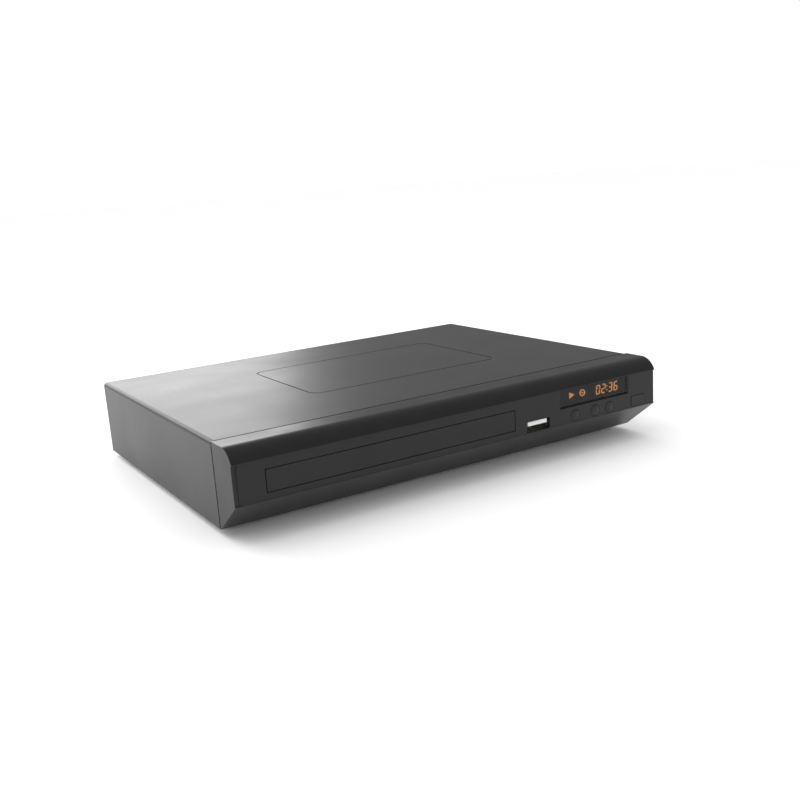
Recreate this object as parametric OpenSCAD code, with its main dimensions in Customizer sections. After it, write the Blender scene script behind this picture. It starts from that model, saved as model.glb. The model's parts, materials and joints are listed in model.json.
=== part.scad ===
// Compact disc player with a sliding tray: folded steel cover, moulded front
// bezel, disc loader with pickup, two circuit boards and a rear socket panel.
// Front faces -Y, +X is to the right seen from the front, Z = 0 is the table.

/* [Case] */
// Width of the case
body_w = 225; // [218:1:260]
// Depth of the steel cover, from the bezel seam to its rear edge
cover_d = 154; // [154:1:200]
// Height of the case without its feet
body_h = 37; // [37:0.5:44]
// Height of the rubber feet
feet_h = 3; // [2:0.5:8]
// Radius of a rubber foot
foot_r = 8; // [6:0.5:10]
// Distance of a foot's centre from the case edges
foot_inset = 26; // [22:1:30]
// Thickness of the sheet steel
sheet_t = 0.8; // [0.6:0.1:1]
// Outer radius of the cover's folds
fold_r = 2; // [1.5:0.1:3]
// Clearance between the cover and the sheets inside it
sheet_gap = 0.3; // [0.2:0.05:0.5]
// Height of the base pan's side flanges
flange_h = 10; // [6:0.5:14]

/* [Cover groove] */
// Width of the rounded rectangle pressed into the top
groove_w = 107; // [60:1:140]
// Depth of that rectangle, front to back
groove_d = 70; // [40:1:90]
// Distance of the rectangle's centre right of the case centre
groove_x = 8; // [-20:1:20]
// Distance of the rectangle's centre behind the seam
groove_y = 77; // [60:1:90]
// Corner radius of the rectangle
groove_r = 6; // [3:0.5:12]
// Width of the pressed line
groove_line = 0.7; // [0.4:0.1:1.2]
// Depth of the pressed line
groove_depth = 0.35; // [0.2:0.05:0.5]

/* [Front bezel] */
// Depth of the bezel, from its face to the seam
bezel_d = 19; // [19:0.5:24]
// Wall thickness of the bezel
bezel_t = 2.2; // [1.8:0.1:2.4]
// Flat length of the bezel's top before it rounds over
nose_flat = 10.5; // [9:0.5:11]
// Radius of the rounded top edge
nose_r = 9.2; // [9:0.1:9.8]
// Height above the case bottom at which the lower slope starts
chin_h = 14.4; // [12:0.1:14.4]
// Radius between the face and the lower slope
chin_r = 2; // [1:0.5:4]
// Depth of the shallow panel in the face
panel_depth = 0.4; // [0.2:0.1:0.6]
// Margin of the panel at the two ends of the bezel
panel_margin = 1.8; // [1:0.1:4]
// Depth of the two end strips behind the panel
end_step = 0.35; // [0.2:0.05:0.5]
// Height of the panel's upper edge above the case bottom
panel_top = 30.9; // [30.8:0.1:31]
// Corner radius of the panel
panel_r = 3; // [1:0.5:4]
// Width of the open seam between bezel and cover
seam_gap = 0.9; // [0.3:0.1:1.2]
// Depth of the rim that the cover slides over
lip_d = 3; // [2:0.5:4]

/* [Buttons and display] */
// Radius of the round buttons
button_r = 2.65; // [2.2:0.05:2.8]
// Clearance round a button in the bezel
button_gap = 0.2; // [0.15:0.05:0.3]
// Height of the round buttons' centres above the case bottom
button_z = 17.6; // [17.6:0.1:18.2]
// Distance of the open/close button from the left end
open_x = 172.9; // [171:0.1:174]
// Distance of the play button from the left end
play_x = 185.6; // [183:0.1:186]
// Distance of the stop button from the left end
stop_x = 194.8; // [194:0.1:197]
// Distance of the power button's centre from the left end
power_x = 213.6; // [212:0.1:213.6]
// Width of the power button
power_w = 8.4; // [7:0.1:8.4]
// Height of the power button
power_h = 5; // [4:0.1:5]
// Distance of the display window's centre from the left end
window_x = 185.8; // [184:0.1:188]
// Width of the display window
window_w = 42.4; // [42:0.1:44]
// Height of the display window
window_h = 8.2; // [8:0.1:8.4]
// Height of the window's lower edge above the case bottom
window_z = 22.4; // [22.2:0.1:22.5]
// Width of the bevel round the window
window_bevel = 0.8; // [0.4:0.1:1]
// Height of a lit digit
digit_h = 4.6; // [4:0.1:5]
// Width of a lit digit
digit_w = 2.5; // [2:0.1:2.8]
// Width of a lit segment
segment_w = 0.5; // [0.3:0.05:0.6]

/* [USB socket] */
// Distance of the socket's centre from the left end
usb_x = 150.4; // [149:0.1:151]
// Width inside the socket
usb_w = 12.6; // [12.5:0.1:12.8]
// Height inside the socket
usb_h = 5.1; // [5:0.05:5.2]
// Height of the socket's lower inner face above the case bottom
usb_z = 14.8; // [14.7:0.05:14.9]
// Depth of the socket
usb_d = 12; // [10:0.5:14]

/* [Disc tray] */
// Diameter of the disc that the tray takes
disc_dia = 120; // [119.5:0.1:120.2]
// Clearance round the disc in its pocket
disc_gap = 0.4; // [0.3:0.05:0.5]
// Distance of the disc's centre from the left end
disc_from_left = 75.4; // [75.4:0.1:78]
// Width of the tray
tray_w = 122; // [122:0.1:122.2]
// Length of the tray
tray_l = 160; // [158:0.5:161]
// Height of the tray
tray_h = 8.6; // [8.4:0.1:8.7]
// Thickness of the tray's floor and rim
tray_t = 1.6; // [1.4:0.1:1.8]
// Rim between the door and the disc pocket
tray_rim = 2.8; // [2.4:0.1:4]
// Width of the slot for the turntable and the lens
slot_w = 34; // [33:0.5:35]
// Radius of the pocket for small discs
small_pocket_r = 40.5; // [40.2:0.1:41]
// Width of the tray door
door_w = 122.8; // [122.4:0.1:123]
// Height of the tray door
door_h = 9.2; // [9:0.1:9.4]
// Thickness of the tray door
door_t = 2.6; // [2.2:0.1:3]
// Height of the door's lower edge above the case bottom
door_z = 17.4; // [17.3:0.05:17.5]
// Clearance round the door in the bezel
door_gap = 0.35; // [0.25:0.05:0.45]

/* [Loader] */
// Clearance between the tray and its guides
guide_gap = 0.35; // [0.25:0.05:0.5]
// Wall thickness of the loader frame
frame_t = 2.6; // [2:0.1:3]
// Height of the loader frame's underside above the base pan
frame_lift = 2.5; // [2.5:0.1:2.8]
// Teeth of the drive gear on the tray's rack
rack_gear_teeth = 16; // [16:1:17]
// Module of the rack
rack_module = 1; // [0.95:0.01:1]
// Teeth of the drive gear's large wheel
wheel_teeth = 38; // [36:1:38]
// Teeth of the pinion under the belt pulley
pinion_teeth = 13; // [13:1:14]
// Module of the wheel and pinion
wheel_module = 0.6; // [0.56:0.01:0.6]
// Radius of the large belt pulley's groove
pulley_r = 9; // [8:0.1:9.2]
// Radius of the motor pulley's groove
motor_pulley_r = 2.5; // [2:0.1:3]
// Side of the belt's square section
belt_t = 1.2; // [1:0.1:1.4]
// Radius of the loading motor's can
motor_r = 9; // [8:0.5:9.5]
// Travel of the cam slider
cam_travel = 20; // [16:1:22]
// Drop of the lift frame's front pin over that travel
cam_drop = 5.1; // [4:0.1:5.4]
// Radius of the clamp puck's lower plate
puck_r = 13.5; // [12:0.5:14]

/* [Pickup] */
// Radius of the turntable
turntable_r = 14.5; // [13:0.5:15]
// Radius of the spindle motor
spindle_r = 11.5; // [10:0.5:11.5]
// Radius of the spindle shaft
shaft_r = 1; // [0.8:0.05:1.2]
// Radius of the sled's guide rods
rod_r = 1.5; // [1.2:0.05:1.5]
// Distance of a guide rod from the disc's centre line
rod_x = 21; // [20.5:0.1:21]
// Smallest radius that the lens reads
lens_r_min = 23; // [22:0.5:24]
// Travel of the sled
sled_travel = 35; // [30:0.5:35]
// Running clearance of shafts, rods and pins
run_gap = 0.05; // [0.03:0.01:0.08]
// Teeth of the sled gear on the sled's rack
sled_gear_teeth = 16; // [16:1:17]
// Module of the sled's rack
sled_module = 0.5; // [0.48:0.01:0.5]
// Teeth of the sled gear's wheel
sled_wheel_teeth = 30; // [28:1:30]
// Teeth of the sled motor's pinion
sled_pinion_teeth = 10; // [10:1:11]
// Module of the sled wheel and pinion
sled_wheel_module = 0.4; // [0.38:0.01:0.4]

/* [Boards and sockets] */
// Thickness of the circuit boards
pcb_t = 1.6; // [1.2:0.1:1.6]
// Height of the boards above the base pan
board_lift = 5.2; // [5:0.1:6]
// Depth of the main board
main_board_d = 72; // [70:1:76]
// Depth of the power board
power_board_d = 56; // [50:1:58]
// Spacing of the round sockets
jack_pitch = 12.6; // [12:0.1:13]
// Columns of round sockets
jack_columns = 4; // [2:1:4]
// Radius of a round socket's metal collar
jack_r = 4.15; // [4:0.05:4.3]
// Length by which the collars stand out behind the case
jack_out = 7; // [5:0.5:9]
// Width of the mains inlet
inlet_w = 23; // [22:0.5:25]
// Height of the mains inlet
inlet_h = 14; // [13:0.5:14]
// Radius of a screw's shank
screw_r = 1.4; // [1.2:0.05:1.5]
// Radius of a screw's head
screw_head_r = 2.7; // [2.4:0.1:3]
// Height of a screw's head
screw_head_h = 1.6; // [1.4:0.1:2]

/* [Hidden] */
$fn = 48;
eps = 0.02;
flat_gap = 0.3;

// Case
body_top = feet_h + body_h;
overall_d = bezel_d + cover_d + jack_out;
front_y = -overall_d / 2;
seam_y = front_y + bezel_d;
cover_rear_y = seam_y + cover_d;
rear_y = cover_rear_y - sheet_t - 0.1;
panel_in_y = rear_y - sheet_t;
floor_top = feet_h + sheet_t;
inner_top = body_top - sheet_t;
base_half = body_w / 2 - sheet_t - sheet_gap;
base_front_y = seam_y + lip_d + sheet_gap;
left_x = -body_w / 2;
chin_slope = atan(chin_h / bezel_d);
panel_y = front_y + panel_depth;
wall_back_y = front_y + bezel_t;

// Tray and loader, placed from the disc's centre
disc_x = left_x + disc_from_left;
tray_front_y = panel_y + door_t;
pocket_r = disc_dia / 2 + disc_gap;
disc_y = tray_front_y + tray_rim + pocket_r;
tray_front = tray_front_y - disc_y;
tray_rear = tray_front + tray_l;
tray_z = feet_h + door_z + 0.2;
tray_top = tray_z + tray_h;
skin_z = tray_z + 2.4;
pocket_z = skin_z + tray_t;
ledge_z = pocket_z + 1;
frame_z = floor_top + frame_lift;
frame_floor = 2;
frame_in = tray_w / 2 + guide_gap;
frame_half = frame_in + frame_t;
frame_front = seam_y + 1.6 - disc_y;
frame_rear = 84;
frame_top = tray_top + 0.4;
bay_left = -37;
bay_right = 49;
bay_front = -28.5;
bay_rear = 82;

// Drive gears
rack_x = -tray_w / 2 + tray_t + 1.4 + 1.2 * rack_module;
drive_r = rack_gear_teeth * rack_module / 2;
drive_x = rack_x + drive_r;
drive_y = -33;
wheel_r = wheel_teeth * wheel_module / 2;
pinion_r = pinion_teeth * wheel_module / 2;
pulley_x = drive_x + wheel_r + pinion_r;
motor_x = pulley_x + 24.8;
motor_y = drive_y - 1.8;
wheel_z = frame_z + 6.8;
wheel_h = 1.6;
belt_z = frame_z + 10.9;

// Lift frame, traverse and pickup
cam_x = 25.5;
cam_y = bay_front + 1;
pin_r = 1.5;
pin_z = frame_z + 7;
pivot_y = 78;
ring_left = -35;
ring_right = 47;
ring_front = -22;
ring_rear = 80;
ring_z = frame_z + 6;
ring_t = 2;
damper_h = 2.2;
plate_z = ring_z + ring_t + damper_h;
plate_t = 1.8;
plate_top = plate_z + plate_t;
seat_z = ledge_z + 0.6;
rod_z = plate_z - 2.6;
sled_y = lens_r_min;
window_front = spindle_r + 0.6;
sled_front = lens_r_min - window_front - 0.5;
sled_back = 14;
sled_rack_x = rod_x;
sled_gear_r = sled_gear_teeth * sled_module / 2;
sled_wheel_r = sled_wheel_teeth * sled_wheel_module / 2;
sled_pinion_r = sled_pinion_teeth * sled_wheel_module / 2;
sled_gear_x = sled_rack_x + sled_gear_r;
sled_gear_y = 34;
sled_motor_x = sled_gear_x + sled_wheel_r + sled_pinion_r;
sled_motor_r = 7.4;
window_rear = sled_y + sled_back + sled_travel + 0.6;

// Boards
board_z = floor_top + board_lift;
board_top = board_z + pcb_t;
board_left = disc_x + frame_half + 4.6;
board_right = base_half - sheet_t - 1;
board_w = board_right - board_left;
main_rear_y = panel_in_y - 0.6;
main_front_y = main_rear_y - main_board_d;
power_rear_y = main_front_y - 5;
power_front_y = power_rear_y - power_board_d;
front_board_y = front_y + 10;
jack_x = board_right - jack_columns * jack_pitch / 2 - 4;
jack_z = board_top + 6.6;
jack_half = jack_columns * jack_pitch / 2;
jack_rows = floor((inner_top - board_top - 1) / jack_pitch);
jack_top = board_top + jack_rows * jack_pitch;
hdmi_x = board_left + 9.5;
inlet_x = disc_x - tray_w / 2 + inlet_w / 2 + 3;
inlet_z = floor_top + 1.1 + inlet_h / 2;
boss_r = 3;
boss_bore = 1.45;

// ---- Shared shapes -------------------------------------------------------

// Rectangle centred on the origin with rounded corners, in the plane.
module round_rect(w, h, r) {
  square([w - 2 * r, h], center = true);
  square([w, h - 2 * r], center = true);
  for (sx = [-1, 1], sy = [-1, 1])
    translate([sx * (w / 2 - r), sy * (h / 2 - r)]) circle(r = r);
}

// A box given by its two corners.
module block(low, high) {
  translate(low) cube(high - low);
}

// Places a plane shape of X and Z at depth y and gives it a thickness in +Y.
module upright(y, t) {
  translate([0, y + t, 0]) rotate([90, 0, 0]) linear_extrude(t) children();
}

// A round bar along +Y from y, at x and z.
module bar_y(x, y, z, r, l) {
  translate([x, y, z]) rotate([-90, 0, 0]) cylinder(r = r, h = l);
}

// A tube standing on z.
module tube(r_out, r_in, h) {
  difference() {
    cylinder(r = r_out, h = h);
    translate([0, 0, -1]) cylinder(r = r_in, h = h + 2);
  }
}

// Moves to the disc's axis.
module at_disc() {
  translate([disc_x, disc_y, 0]) children();
}

// Outline of a gear with straight-flanked teeth; a tooth points along phase.
function tooth_angles(rp, rr, rt, thick) =
  let(half = thick / rp * 90 / PI, flank = tan(20) * 180 / PI / rp)
  [half + flank * (rp - rr), max(0.4 * half, half - flank * (rt - rp))];
module gear_outline(teeth, m, phase = 0) {
  rp = teeth * m / 2;
  rr = rp - 1.2 * m;
  rt = rp + 0.85 * m;
  a = tooth_angles(rp, rr, rt, 0.38 * PI * m);
  polygon([for (i = [0 : teeth - 1], k = [[rr, -a[0]], [rt, -a[1]], [rt, a[1]], [rr, a[0]]])
    let(t = phase + i * 360 / teeth + k[1]) k[0] * [cos(t), sin(t)]]);
}

// Outline of a rack along Y whose teeth point along +X; a gap lies at y = 0.
module rack_outline(m, back, first, last) {
  p = PI * m;
  half = 0.19 * p;
  flank = tan(20) * m;
  square_low = (first - 0.5) * p;
  square_high = (last + 1.5) * p;
  translate([-1.2 * m - back, square_low]) square([back + 0.01, square_high - square_low]);
  for (i = [first : last])
    translate([0, (i + 0.5) * p])
      polygon([[-1.2 * m, -half - 1.2 * flank], [0.85 * m, -half + 0.85 * flank],
               [0.85 * m, half - 0.85 * flank], [-1.2 * m, half + 1.2 * flank]]);
}

// A pan-head screw hanging down from z, its head on top.
module screw_down(l) {
  cylinder(r = screw_head_r, h = screw_head_h);
  translate([0, 0, -l]) cylinder(r = screw_r, h = l + 0.1);
}

// ---- Case ----------------------------------------------------------------

foot_spots = [for (sx = [-1, 1], y = [seam_y + foot_inset, rear_y - foot_inset])
              [sx * (body_w / 2 - foot_inset), y]];
loader_spots = [for (sx = [-1, 1], y = [frame_front + 5, frame_rear - 5])
                [disc_x + sx * (frame_half - 6), disc_y + y]];
main_spots = [for (x = [board_left + 5, board_right - 5], y = [main_front_y + 5, main_rear_y - 22]) [x, y]];
power_spots = [for (x = [board_left + 5, board_right - 5], y = [power_front_y + 5, power_rear_y - 5]) [x, y]];
// Both ends of a stretch and its middle.
function between(a, b) = [a, (a + b) / 2, b];
lug_x = [left_x + 7, disc_x + frame_half + 6, -left_x - 9];
lug_y = base_front_y + 5;
rear_tab_x = between(inlet_x + inlet_w / 2 + 8, board_left - 9.5);
cover_screw_x = between(left_x + 12.5, jack_x - jack_half - 11);
cover_screw_z = body_top - 4;
rear_screw_z = feet_h + 6;

module base_chassis() {
  color([0.62, 0.63, 0.64]) difference() {
    union() {
      block([-base_half, base_front_y, feet_h], [base_half, panel_in_y, floor_top]);
      for (x = [-base_half, base_half - sheet_t])
        block([x, base_front_y, feet_h], [x + sheet_t, panel_in_y - 10, feet_h + flange_h]);
      block([-base_half + 12, panel_in_y - sheet_t, feet_h], [base_half - 12, panel_in_y, feet_h + 9]);
      for (p = loader_spots)
        translate([p[0], p[1], feet_h]) cylinder(r = boss_r, h = frame_z - feet_h);
      for (p = concat(main_spots, power_spots))
        translate([p[0], p[1], feet_h]) cylinder(r = boss_r, h = board_z - feet_h);
    }
    for (p = concat(loader_spots, main_spots, power_spots))
      translate([p[0], p[1], 0]) cylinder(r = boss_bore, h = body_top);
    for (p = foot_spots)
      translate([p[0], p[1], 0]) cylinder(r = 2.6, h = body_top);
    for (x = lug_x)
      translate([x, lug_y, 0]) cylinder(r = screw_r + 0.2, h = body_top);
    for (x = rear_tab_x)
      bar_y(x, panel_in_y - 5, rear_screw_z, boss_bore, 10);
    block([inlet_x - inlet_w / 2 - 1, panel_in_y - 3, floor_top + 0.8],
          [inlet_x + inlet_w / 2 + 1, panel_in_y + 1, feet_h + 20]);
    block([board_left - 3, panel_in_y - 3, board_z - 0.5], [base_half - 11, panel_in_y + 1, feet_h + 20]);
    for (i = [0 : 8])
      translate([board_left + 14 + i * 6, power_front_y + 26, 0]) cube([2.4, 24, 3 * feet_h], center = true);
    for (i = [0 : 8])
      translate([board_left + 14 + i * 6, main_front_y + 30, 0]) cube([2.4, 24, 3 * feet_h], center = true);
  }
}

// Cross-section of a folded U of sheet metal, in X and Z, open at the bottom.
module fold_section(half, top, r) {
  translate([-half + r, feet_h]) square([2 * half - 2 * r, top - feet_h]);
  translate([-half, feet_h]) square([2 * half, top - feet_h - r]);
  for (s = [-1, 1])
    translate([s * (half - r), top - r]) circle(r = r);
}

module top_cover() {
  cover_front = seam_y + seam_gap;
  half = body_w / 2;
  color([0.16, 0.16, 0.165]) difference() {
    union() {
      upright(cover_front, cover_rear_y - cover_front) difference() {
        fold_section(half, body_top, fold_r);
        translate([0, -eps]) fold_section(half - sheet_t, inner_top + eps, fold_r - sheet_t);
      }
      block([-half + 4, cover_rear_y - sheet_t, body_top - 8], [half - 4, cover_rear_y, inner_top + 0.1]);
    }
    translate([groove_x, seam_y + groove_y, body_top - groove_depth]) linear_extrude(2) difference() {
      round_rect(groove_w, groove_d, groove_r);
      round_rect(groove_w - 2 * groove_line, groove_d - 2 * groove_line, groove_r - groove_line);
    }
    for (x = cover_screw_x)
      bar_y(x, rear_y - 5, cover_screw_z, screw_r + 0.2, 10);
    block([jack_x - jack_half - 1, cover_rear_y - 2, body_top - 9],
          [jack_x + jack_half + 1, cover_rear_y + 1, jack_top + 1.8]);
  }
}

module rear_panel() {
  color([0.13, 0.13, 0.135]) difference() {
    union() {
      block([-base_half, panel_in_y, feet_h], [base_half, rear_y, inner_top - flat_gap]);
      for (s = [-1, 1])
        translate([s * (base_half - sheet_t / 2), panel_in_y - 4, feet_h + flange_h + 13])
          cube([sheet_t, 8 + eps, 22], center = true);
    }
    for (x = cover_screw_x)
      bar_y(x, rear_y - 5, cover_screw_z, boss_bore, 10);
    for (x = rear_tab_x)
      bar_y(x, rear_y - 5, rear_screw_z, screw_r + 0.2, 10);
    block([jack_x - jack_half - 0.4, rear_y - 5, board_top - 1],
          [jack_x + jack_half + 0.4, rear_y + 5, jack_top + 1.2]);
    block([hdmi_x - 7.8, rear_y - 5, board_top - 0.3], [hdmi_x + 7.8, rear_y + 5, board_top + 6.3]);
    block([inlet_x - inlet_w / 2 - 0.2, rear_y - 5, inlet_z - inlet_h / 2 - 0.2],
          [inlet_x + inlet_w / 2 + 0.2, rear_y + 5, inlet_z + inlet_h / 2 + 0.2]);
    for (i = [0 : 9])
      block([-62 + i * 8, rear_y - 5, body_top - 22], [-59.6 + i * 8, rear_y + 5, body_top - 10]);
  }
}

module foot() {
  difference() {
    union() {
      cylinder(r1 = foot_r - 1, r2 = foot_r, h = 1);
      translate([0, 0, 1]) cylinder(r = foot_r, h = feet_h - 1);
      cylinder(r = 2.5, h = floor_top + 0.1);
      translate([0, 0, floor_top + 0.1]) cylinder(r1 = 3, r2 = 2, h = 2);
    }
    translate([0, 0, -1]) cylinder(r = 1.2, h = 3);
  }
}

module feet() {
  color([0.08, 0.08, 0.08])
    for (p = foot_spots)
      translate([p[0], p[1], 0]) foot();
}

// ---- Bezel ---------------------------------------------------------------

// Side outline of the bezel: X runs back from the face, Y is the height.
module bezel_outline(inset) {
  shift = inset / cos(chin_slope);
  centre_h = body_h - nose_r;
  nose_u = bezel_d - nose_flat;
  r = max(chin_r - inset, 0.2);
  low_h = chin_h + shift - tan(chin_slope) * (r + inset) + r / cos(chin_slope);
  intersection() {
    union() {
      translate([nose_u, centre_h]) circle(r = nose_r - inset, $fn = 96);
      translate([nose_u, -1]) square([nose_flat + inset, body_h - inset + 1]);
      translate([inset, -1]) square([bezel_d, centre_h + 1]);
    }
    translate([inset, -1]) square([bezel_d + 1 - inset, body_h + 2]);
    polygon([[-1, chin_h + chin_h / bezel_d + shift], [bezel_d, shift],
             [bezel_d + 2, shift], [bezel_d + 2, body_h + 5], [-1, body_h + 5]]);
    union() {
      translate([inset - 1, low_h]) square([bezel_d + 3, body_h]);
      translate([inset + r, low_h]) circle(r = r);
      translate([inset + r - r * sin(chin_slope), -1]) square([bezel_d + 3, body_h]);
    }
  }
}

// Extrudes a side outline along X, centred.
module along_x(w) {
  translate([-w / 2, 0, 0]) rotate([90, 0, 90]) linear_extrude(w) children();
}

// Centre of a face feature given from the left end and the case bottom.
function face_at(from_left, up) = [left_x + from_left, 0, feet_h + up];

button_list = [open_x, play_x, stop_x];
power_z = chin_h + 0.7 + power_h / 2;
door_centre_z = door_z + door_h / 2;

module face_cut(from_left, up, w, h, r = 0.3) {
  translate(face_at(from_left, up)) upright(front_y - 1, bezel_t + 3) round_rect(w, h, r);
}

// The shallow recess over the whole front, and the deeper strip beside each end of the panel.
module panel_cut() {
  panel_h = panel_top - chin_h;
  translate([0, 0, feet_h + chin_h + panel_h / 2]) {
    upright(front_y - 1, 1 + panel_depth) square([body_w + 2, panel_h], center = true);
    upright(front_y - 1, 1 + panel_depth + end_step) difference() {
      square([body_w + 2, panel_h], center = true);
      round_rect(body_w - 2 * panel_margin, panel_h + panel_r / 2, panel_r);
    }
  }
}

module front_bezel() {
  rim_half = base_half - 0.1;
  color([0.12, 0.12, 0.125]) difference() {
    union() {
      translate([0, front_y, feet_h]) along_x(body_w) bezel_outline(0);
      block([-rim_half, seam_y - 1, floor_top + flat_gap], [rim_half, seam_y + lip_d, inner_top - flat_gap]);
      for (x = lug_x)
        block([x - 4, seam_y - 1, floor_top], [x + 4, lug_y + 4.5, floor_top + 5]);
    }
    difference() {
      translate([0, front_y, feet_h]) along_x(body_w - 2 * bezel_t) bezel_outline(bezel_t);
      for (x = lug_x)
        block([x - 4, seam_y - 6, feet_h], [x + 4, seam_y + 1, floor_top + 5]);
    }
    difference() {
      block([-rim_half + 1.4, seam_y - 1.01, floor_top + flat_gap + 1.4],
            [rim_half - 1.4, seam_y + lip_d + 1, inner_top - flat_gap - 1.4]);
      for (x = lug_x)
        block([x - 4, seam_y - 6, feet_h], [x + 4, lug_y + 4.5, floor_top + 5]);
    }
    panel_cut();
    face_cut(disc_from_left, door_centre_z, door_w + 2 * door_gap, door_h + 2 * door_gap);
    face_cut(usb_x, usb_z + usb_h / 2, usb_w + 1, usb_h + 0.1);
    face_cut(window_x, window_z + window_h / 2, window_w, window_h);
    hull() {
      translate(face_at(window_x, window_z + window_h / 2)) upright(panel_y - 0.01, 0.01)
        square([window_w + 2 * window_bevel, window_h + window_bevel], center = true);
      translate(face_at(window_x, window_z + window_h / 2)) upright(panel_y + window_bevel, 0.01)
        square([window_w, window_h], center = true);
    }
    face_cut(power_x, power_z, power_w + 2 * button_gap, power_h + 2 * button_gap);
    translate(face_at(power_x, power_z)) upright(wall_back_y, 4)
      square([power_w + 2, power_h + 1.2], center = true);
    translate(face_at(usb_x, usb_z + usb_h / 2)) upright(wall_back_y, 6)
      square([usb_w + 1, usb_h + 1], center = true);
    for (x = button_list)
      translate(face_at(x, button_z)) {
        bar_y(0, front_y - 1, 0, button_r + button_gap, bezel_t + 3);
        bar_y(0, wall_back_y, 0, button_r + 1.1, 4);
      }
    for (x = lug_x)
      translate([x, lug_y, 0]) cylinder(r = boss_bore, h = floor_top + 4.6);
  }
}

module display_window() {
  back = wall_back_y + 0.05;
  color([0.05, 0.05, 0.06, 0.6]) translate(face_at(window_x, window_z + window_h / 2)) {
    upright(panel_y + window_bevel + 0.2, back - panel_y - window_bevel)
      square([window_w - 0.4, window_h - 0.4], center = true);
    upright(back, 1) translate([0, -0.55]) square([window_w + 2, window_h + 0.9], center = true);
  }
}

display_front_y = wall_back_y + 1.6;
module display_module() {
  color([0.1, 0.1, 0.11]) difference() {
    translate(face_at(window_x + 1.5, window_z + window_h / 2))
      upright(display_front_y, front_board_y - display_front_y)
        square([window_w - 8.4, window_h - 0.6], center = true);
    for (i = [0 : 15])
      translate(face_at(window_x - 13.5 + i * 2, window_z + 1)) bar_y(0, front_board_y - 1, 0, 0.3, 2);
  }
}

// One straight segment with pointed ends, lying along X.
module segment(l) {
  h = segment_w / 2;
  polygon([[-l / 2, 0], [-l / 2 + h, h], [l / 2 - h, h], [l / 2, 0], [l / 2 - h, -h], [-l / 2 + h, -h]]);
}

// A seven-segment figure from its list of lit segments, a to g.
module figure(lit) {
  w = digit_w - segment_w;
  h = (digit_h - segment_w) / 2;
  spots = [[0, h, 0], [w / 2, h / 2, 90], [w / 2, -h / 2, 90], [0, -h, 0],
           [-w / 2, -h / 2, 90], [-w / 2, h / 2, 90], [0, 0, 0]];
  for (i = [0 : 6])
    if (lit[i] == 1)
      translate([spots[i][0] + 0.14 * spots[i][1], spots[i][1]])
        rotate(spots[i][2]) segment((spots[i][2] == 0 ? w : h) - 0.12);
}

clock_figures = [[1, 1, 1, 1, 1, 1, 0], [1, 1, 0, 1, 1, 0, 1], [1, 1, 1, 1, 0, 0, 1], [1, 0, 1, 1, 1, 1, 1]];
digits_x = window_x + 10.7;
digits_z = window_z + window_h / 2 - 0.2;
module display_segments() {
  figure_step = digit_w + 1;
  color([0.95, 0.55, 0.15]) upright(display_front_y - 0.3, 0.3) {
    for (i = [0 : 3])
      translate([left_x + digits_x + (i - 1.5) * figure_step + (i > 1 ? 0.5 : -0.5), feet_h + digits_z])
        figure(clock_figures[i]);
    for (s = [-1, 1])
      translate([left_x + digits_x + s * 0.1, feet_h + digits_z + s * 0.9]) circle(r = 0.3);
    translate([left_x + window_x - 11.8, feet_h + digits_z + 0.4])
      polygon([[-1.5, -1.5], [1.5, 0], [-1.5, 1.5]]);
    translate([left_x + window_x - 5.2, feet_h + digits_z + 0.4]) difference() {
      circle(r = 1.7);
      circle(r = 1.2);
    }
    translate([left_x + window_x - 5.2, feet_h + digits_z + 0.4]) circle(r = 0.45);
  }
}

switch_d = 3.4;
switch_y = front_board_y - switch_d;
switch_spots = concat([for (x = button_list) [x, button_z]], [[power_x, power_z]]);
button_back = switch_y - 2.2;

module front_board() {
  left = usb_x - 9;
  right = body_w - bezel_t - 1;
  color([0.1, 0.28, 0.15]) difference() {
    block([left_x + left, front_board_y, feet_h + 10.4],
          [left_x + right, front_board_y + pcb_t, feet_h + body_h - 5]);
    translate(face_at(usb_x, usb_z + usb_h / 2))
      upright(front_board_y - 1, 5) square([usb_w + 1.4, usb_h + 1.4], center = true);
  }
}

module ir_receiver() {
  x = window_x - window_w / 2 + 3;
  color([0.06, 0.06, 0.07]) {
    translate(face_at(x, window_z + window_h / 2))
      upright(display_front_y + 1.5, front_board_y - display_front_y - 1.5) square([5, 5.4], center = true);
    translate(face_at(x, window_z + window_h / 2)) bar_y(0, display_front_y + 0.5, 0, 1.9, 1.2);
  }
}

plunger_r = 1.6;
module tact_switches() {
  color([0.15, 0.15, 0.16])
    for (p = switch_spots)
      translate(face_at(p[0], p[1])) difference() {
        upright(switch_y, switch_d) square([6, 5.6], center = true);
        bar_y(0, switch_y - 1, 0, plunger_r + run_gap, 3);
      }
}

// Plunger of a tact switch, between the button's stem and the switch.
module plunger(x, z) {
  color([0.85, 0.85, 0.82]) translate(face_at(x, z))
    bar_y(0, button_back + 0.1, 0, plunger_r, switch_y + 1.3 - button_back - 0.1);
}

// A round button with a domed cap, a flange behind the wall and a stem.
module round_button(x) {
  cap_y = panel_y - 0.3;
  dome_r = 12;
  color([0.13, 0.13, 0.135]) translate(face_at(x, button_z)) {
    intersection() {
      bar_y(0, cap_y - 1, 0, button_r, wall_back_y - cap_y + 1.7);
      translate([0, cap_y + dome_r, 0]) sphere(r = dome_r, $fn = 64);
    }
    bar_y(0, wall_back_y + flat_gap, 0, button_r + 0.8, 0.8);
    bar_y(0, wall_back_y + 0.9, 0, 1.5, button_back - wall_back_y - 0.9);
  }
}

module power_button() {
  color([0.13, 0.13, 0.135]) translate(face_at(power_x, power_z)) {
    upright(panel_y - 0.2, wall_back_y + 0.9 - panel_y) round_rect(power_w, power_h, 0.5);
    upright(wall_back_y + flat_gap, 0.8) square([power_w + 1.4, power_h + 0.6], center = true);
    bar_y(0, wall_back_y + 0.9, 0, 1.5, button_back - wall_back_y - 0.9);
  }
}

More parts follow.
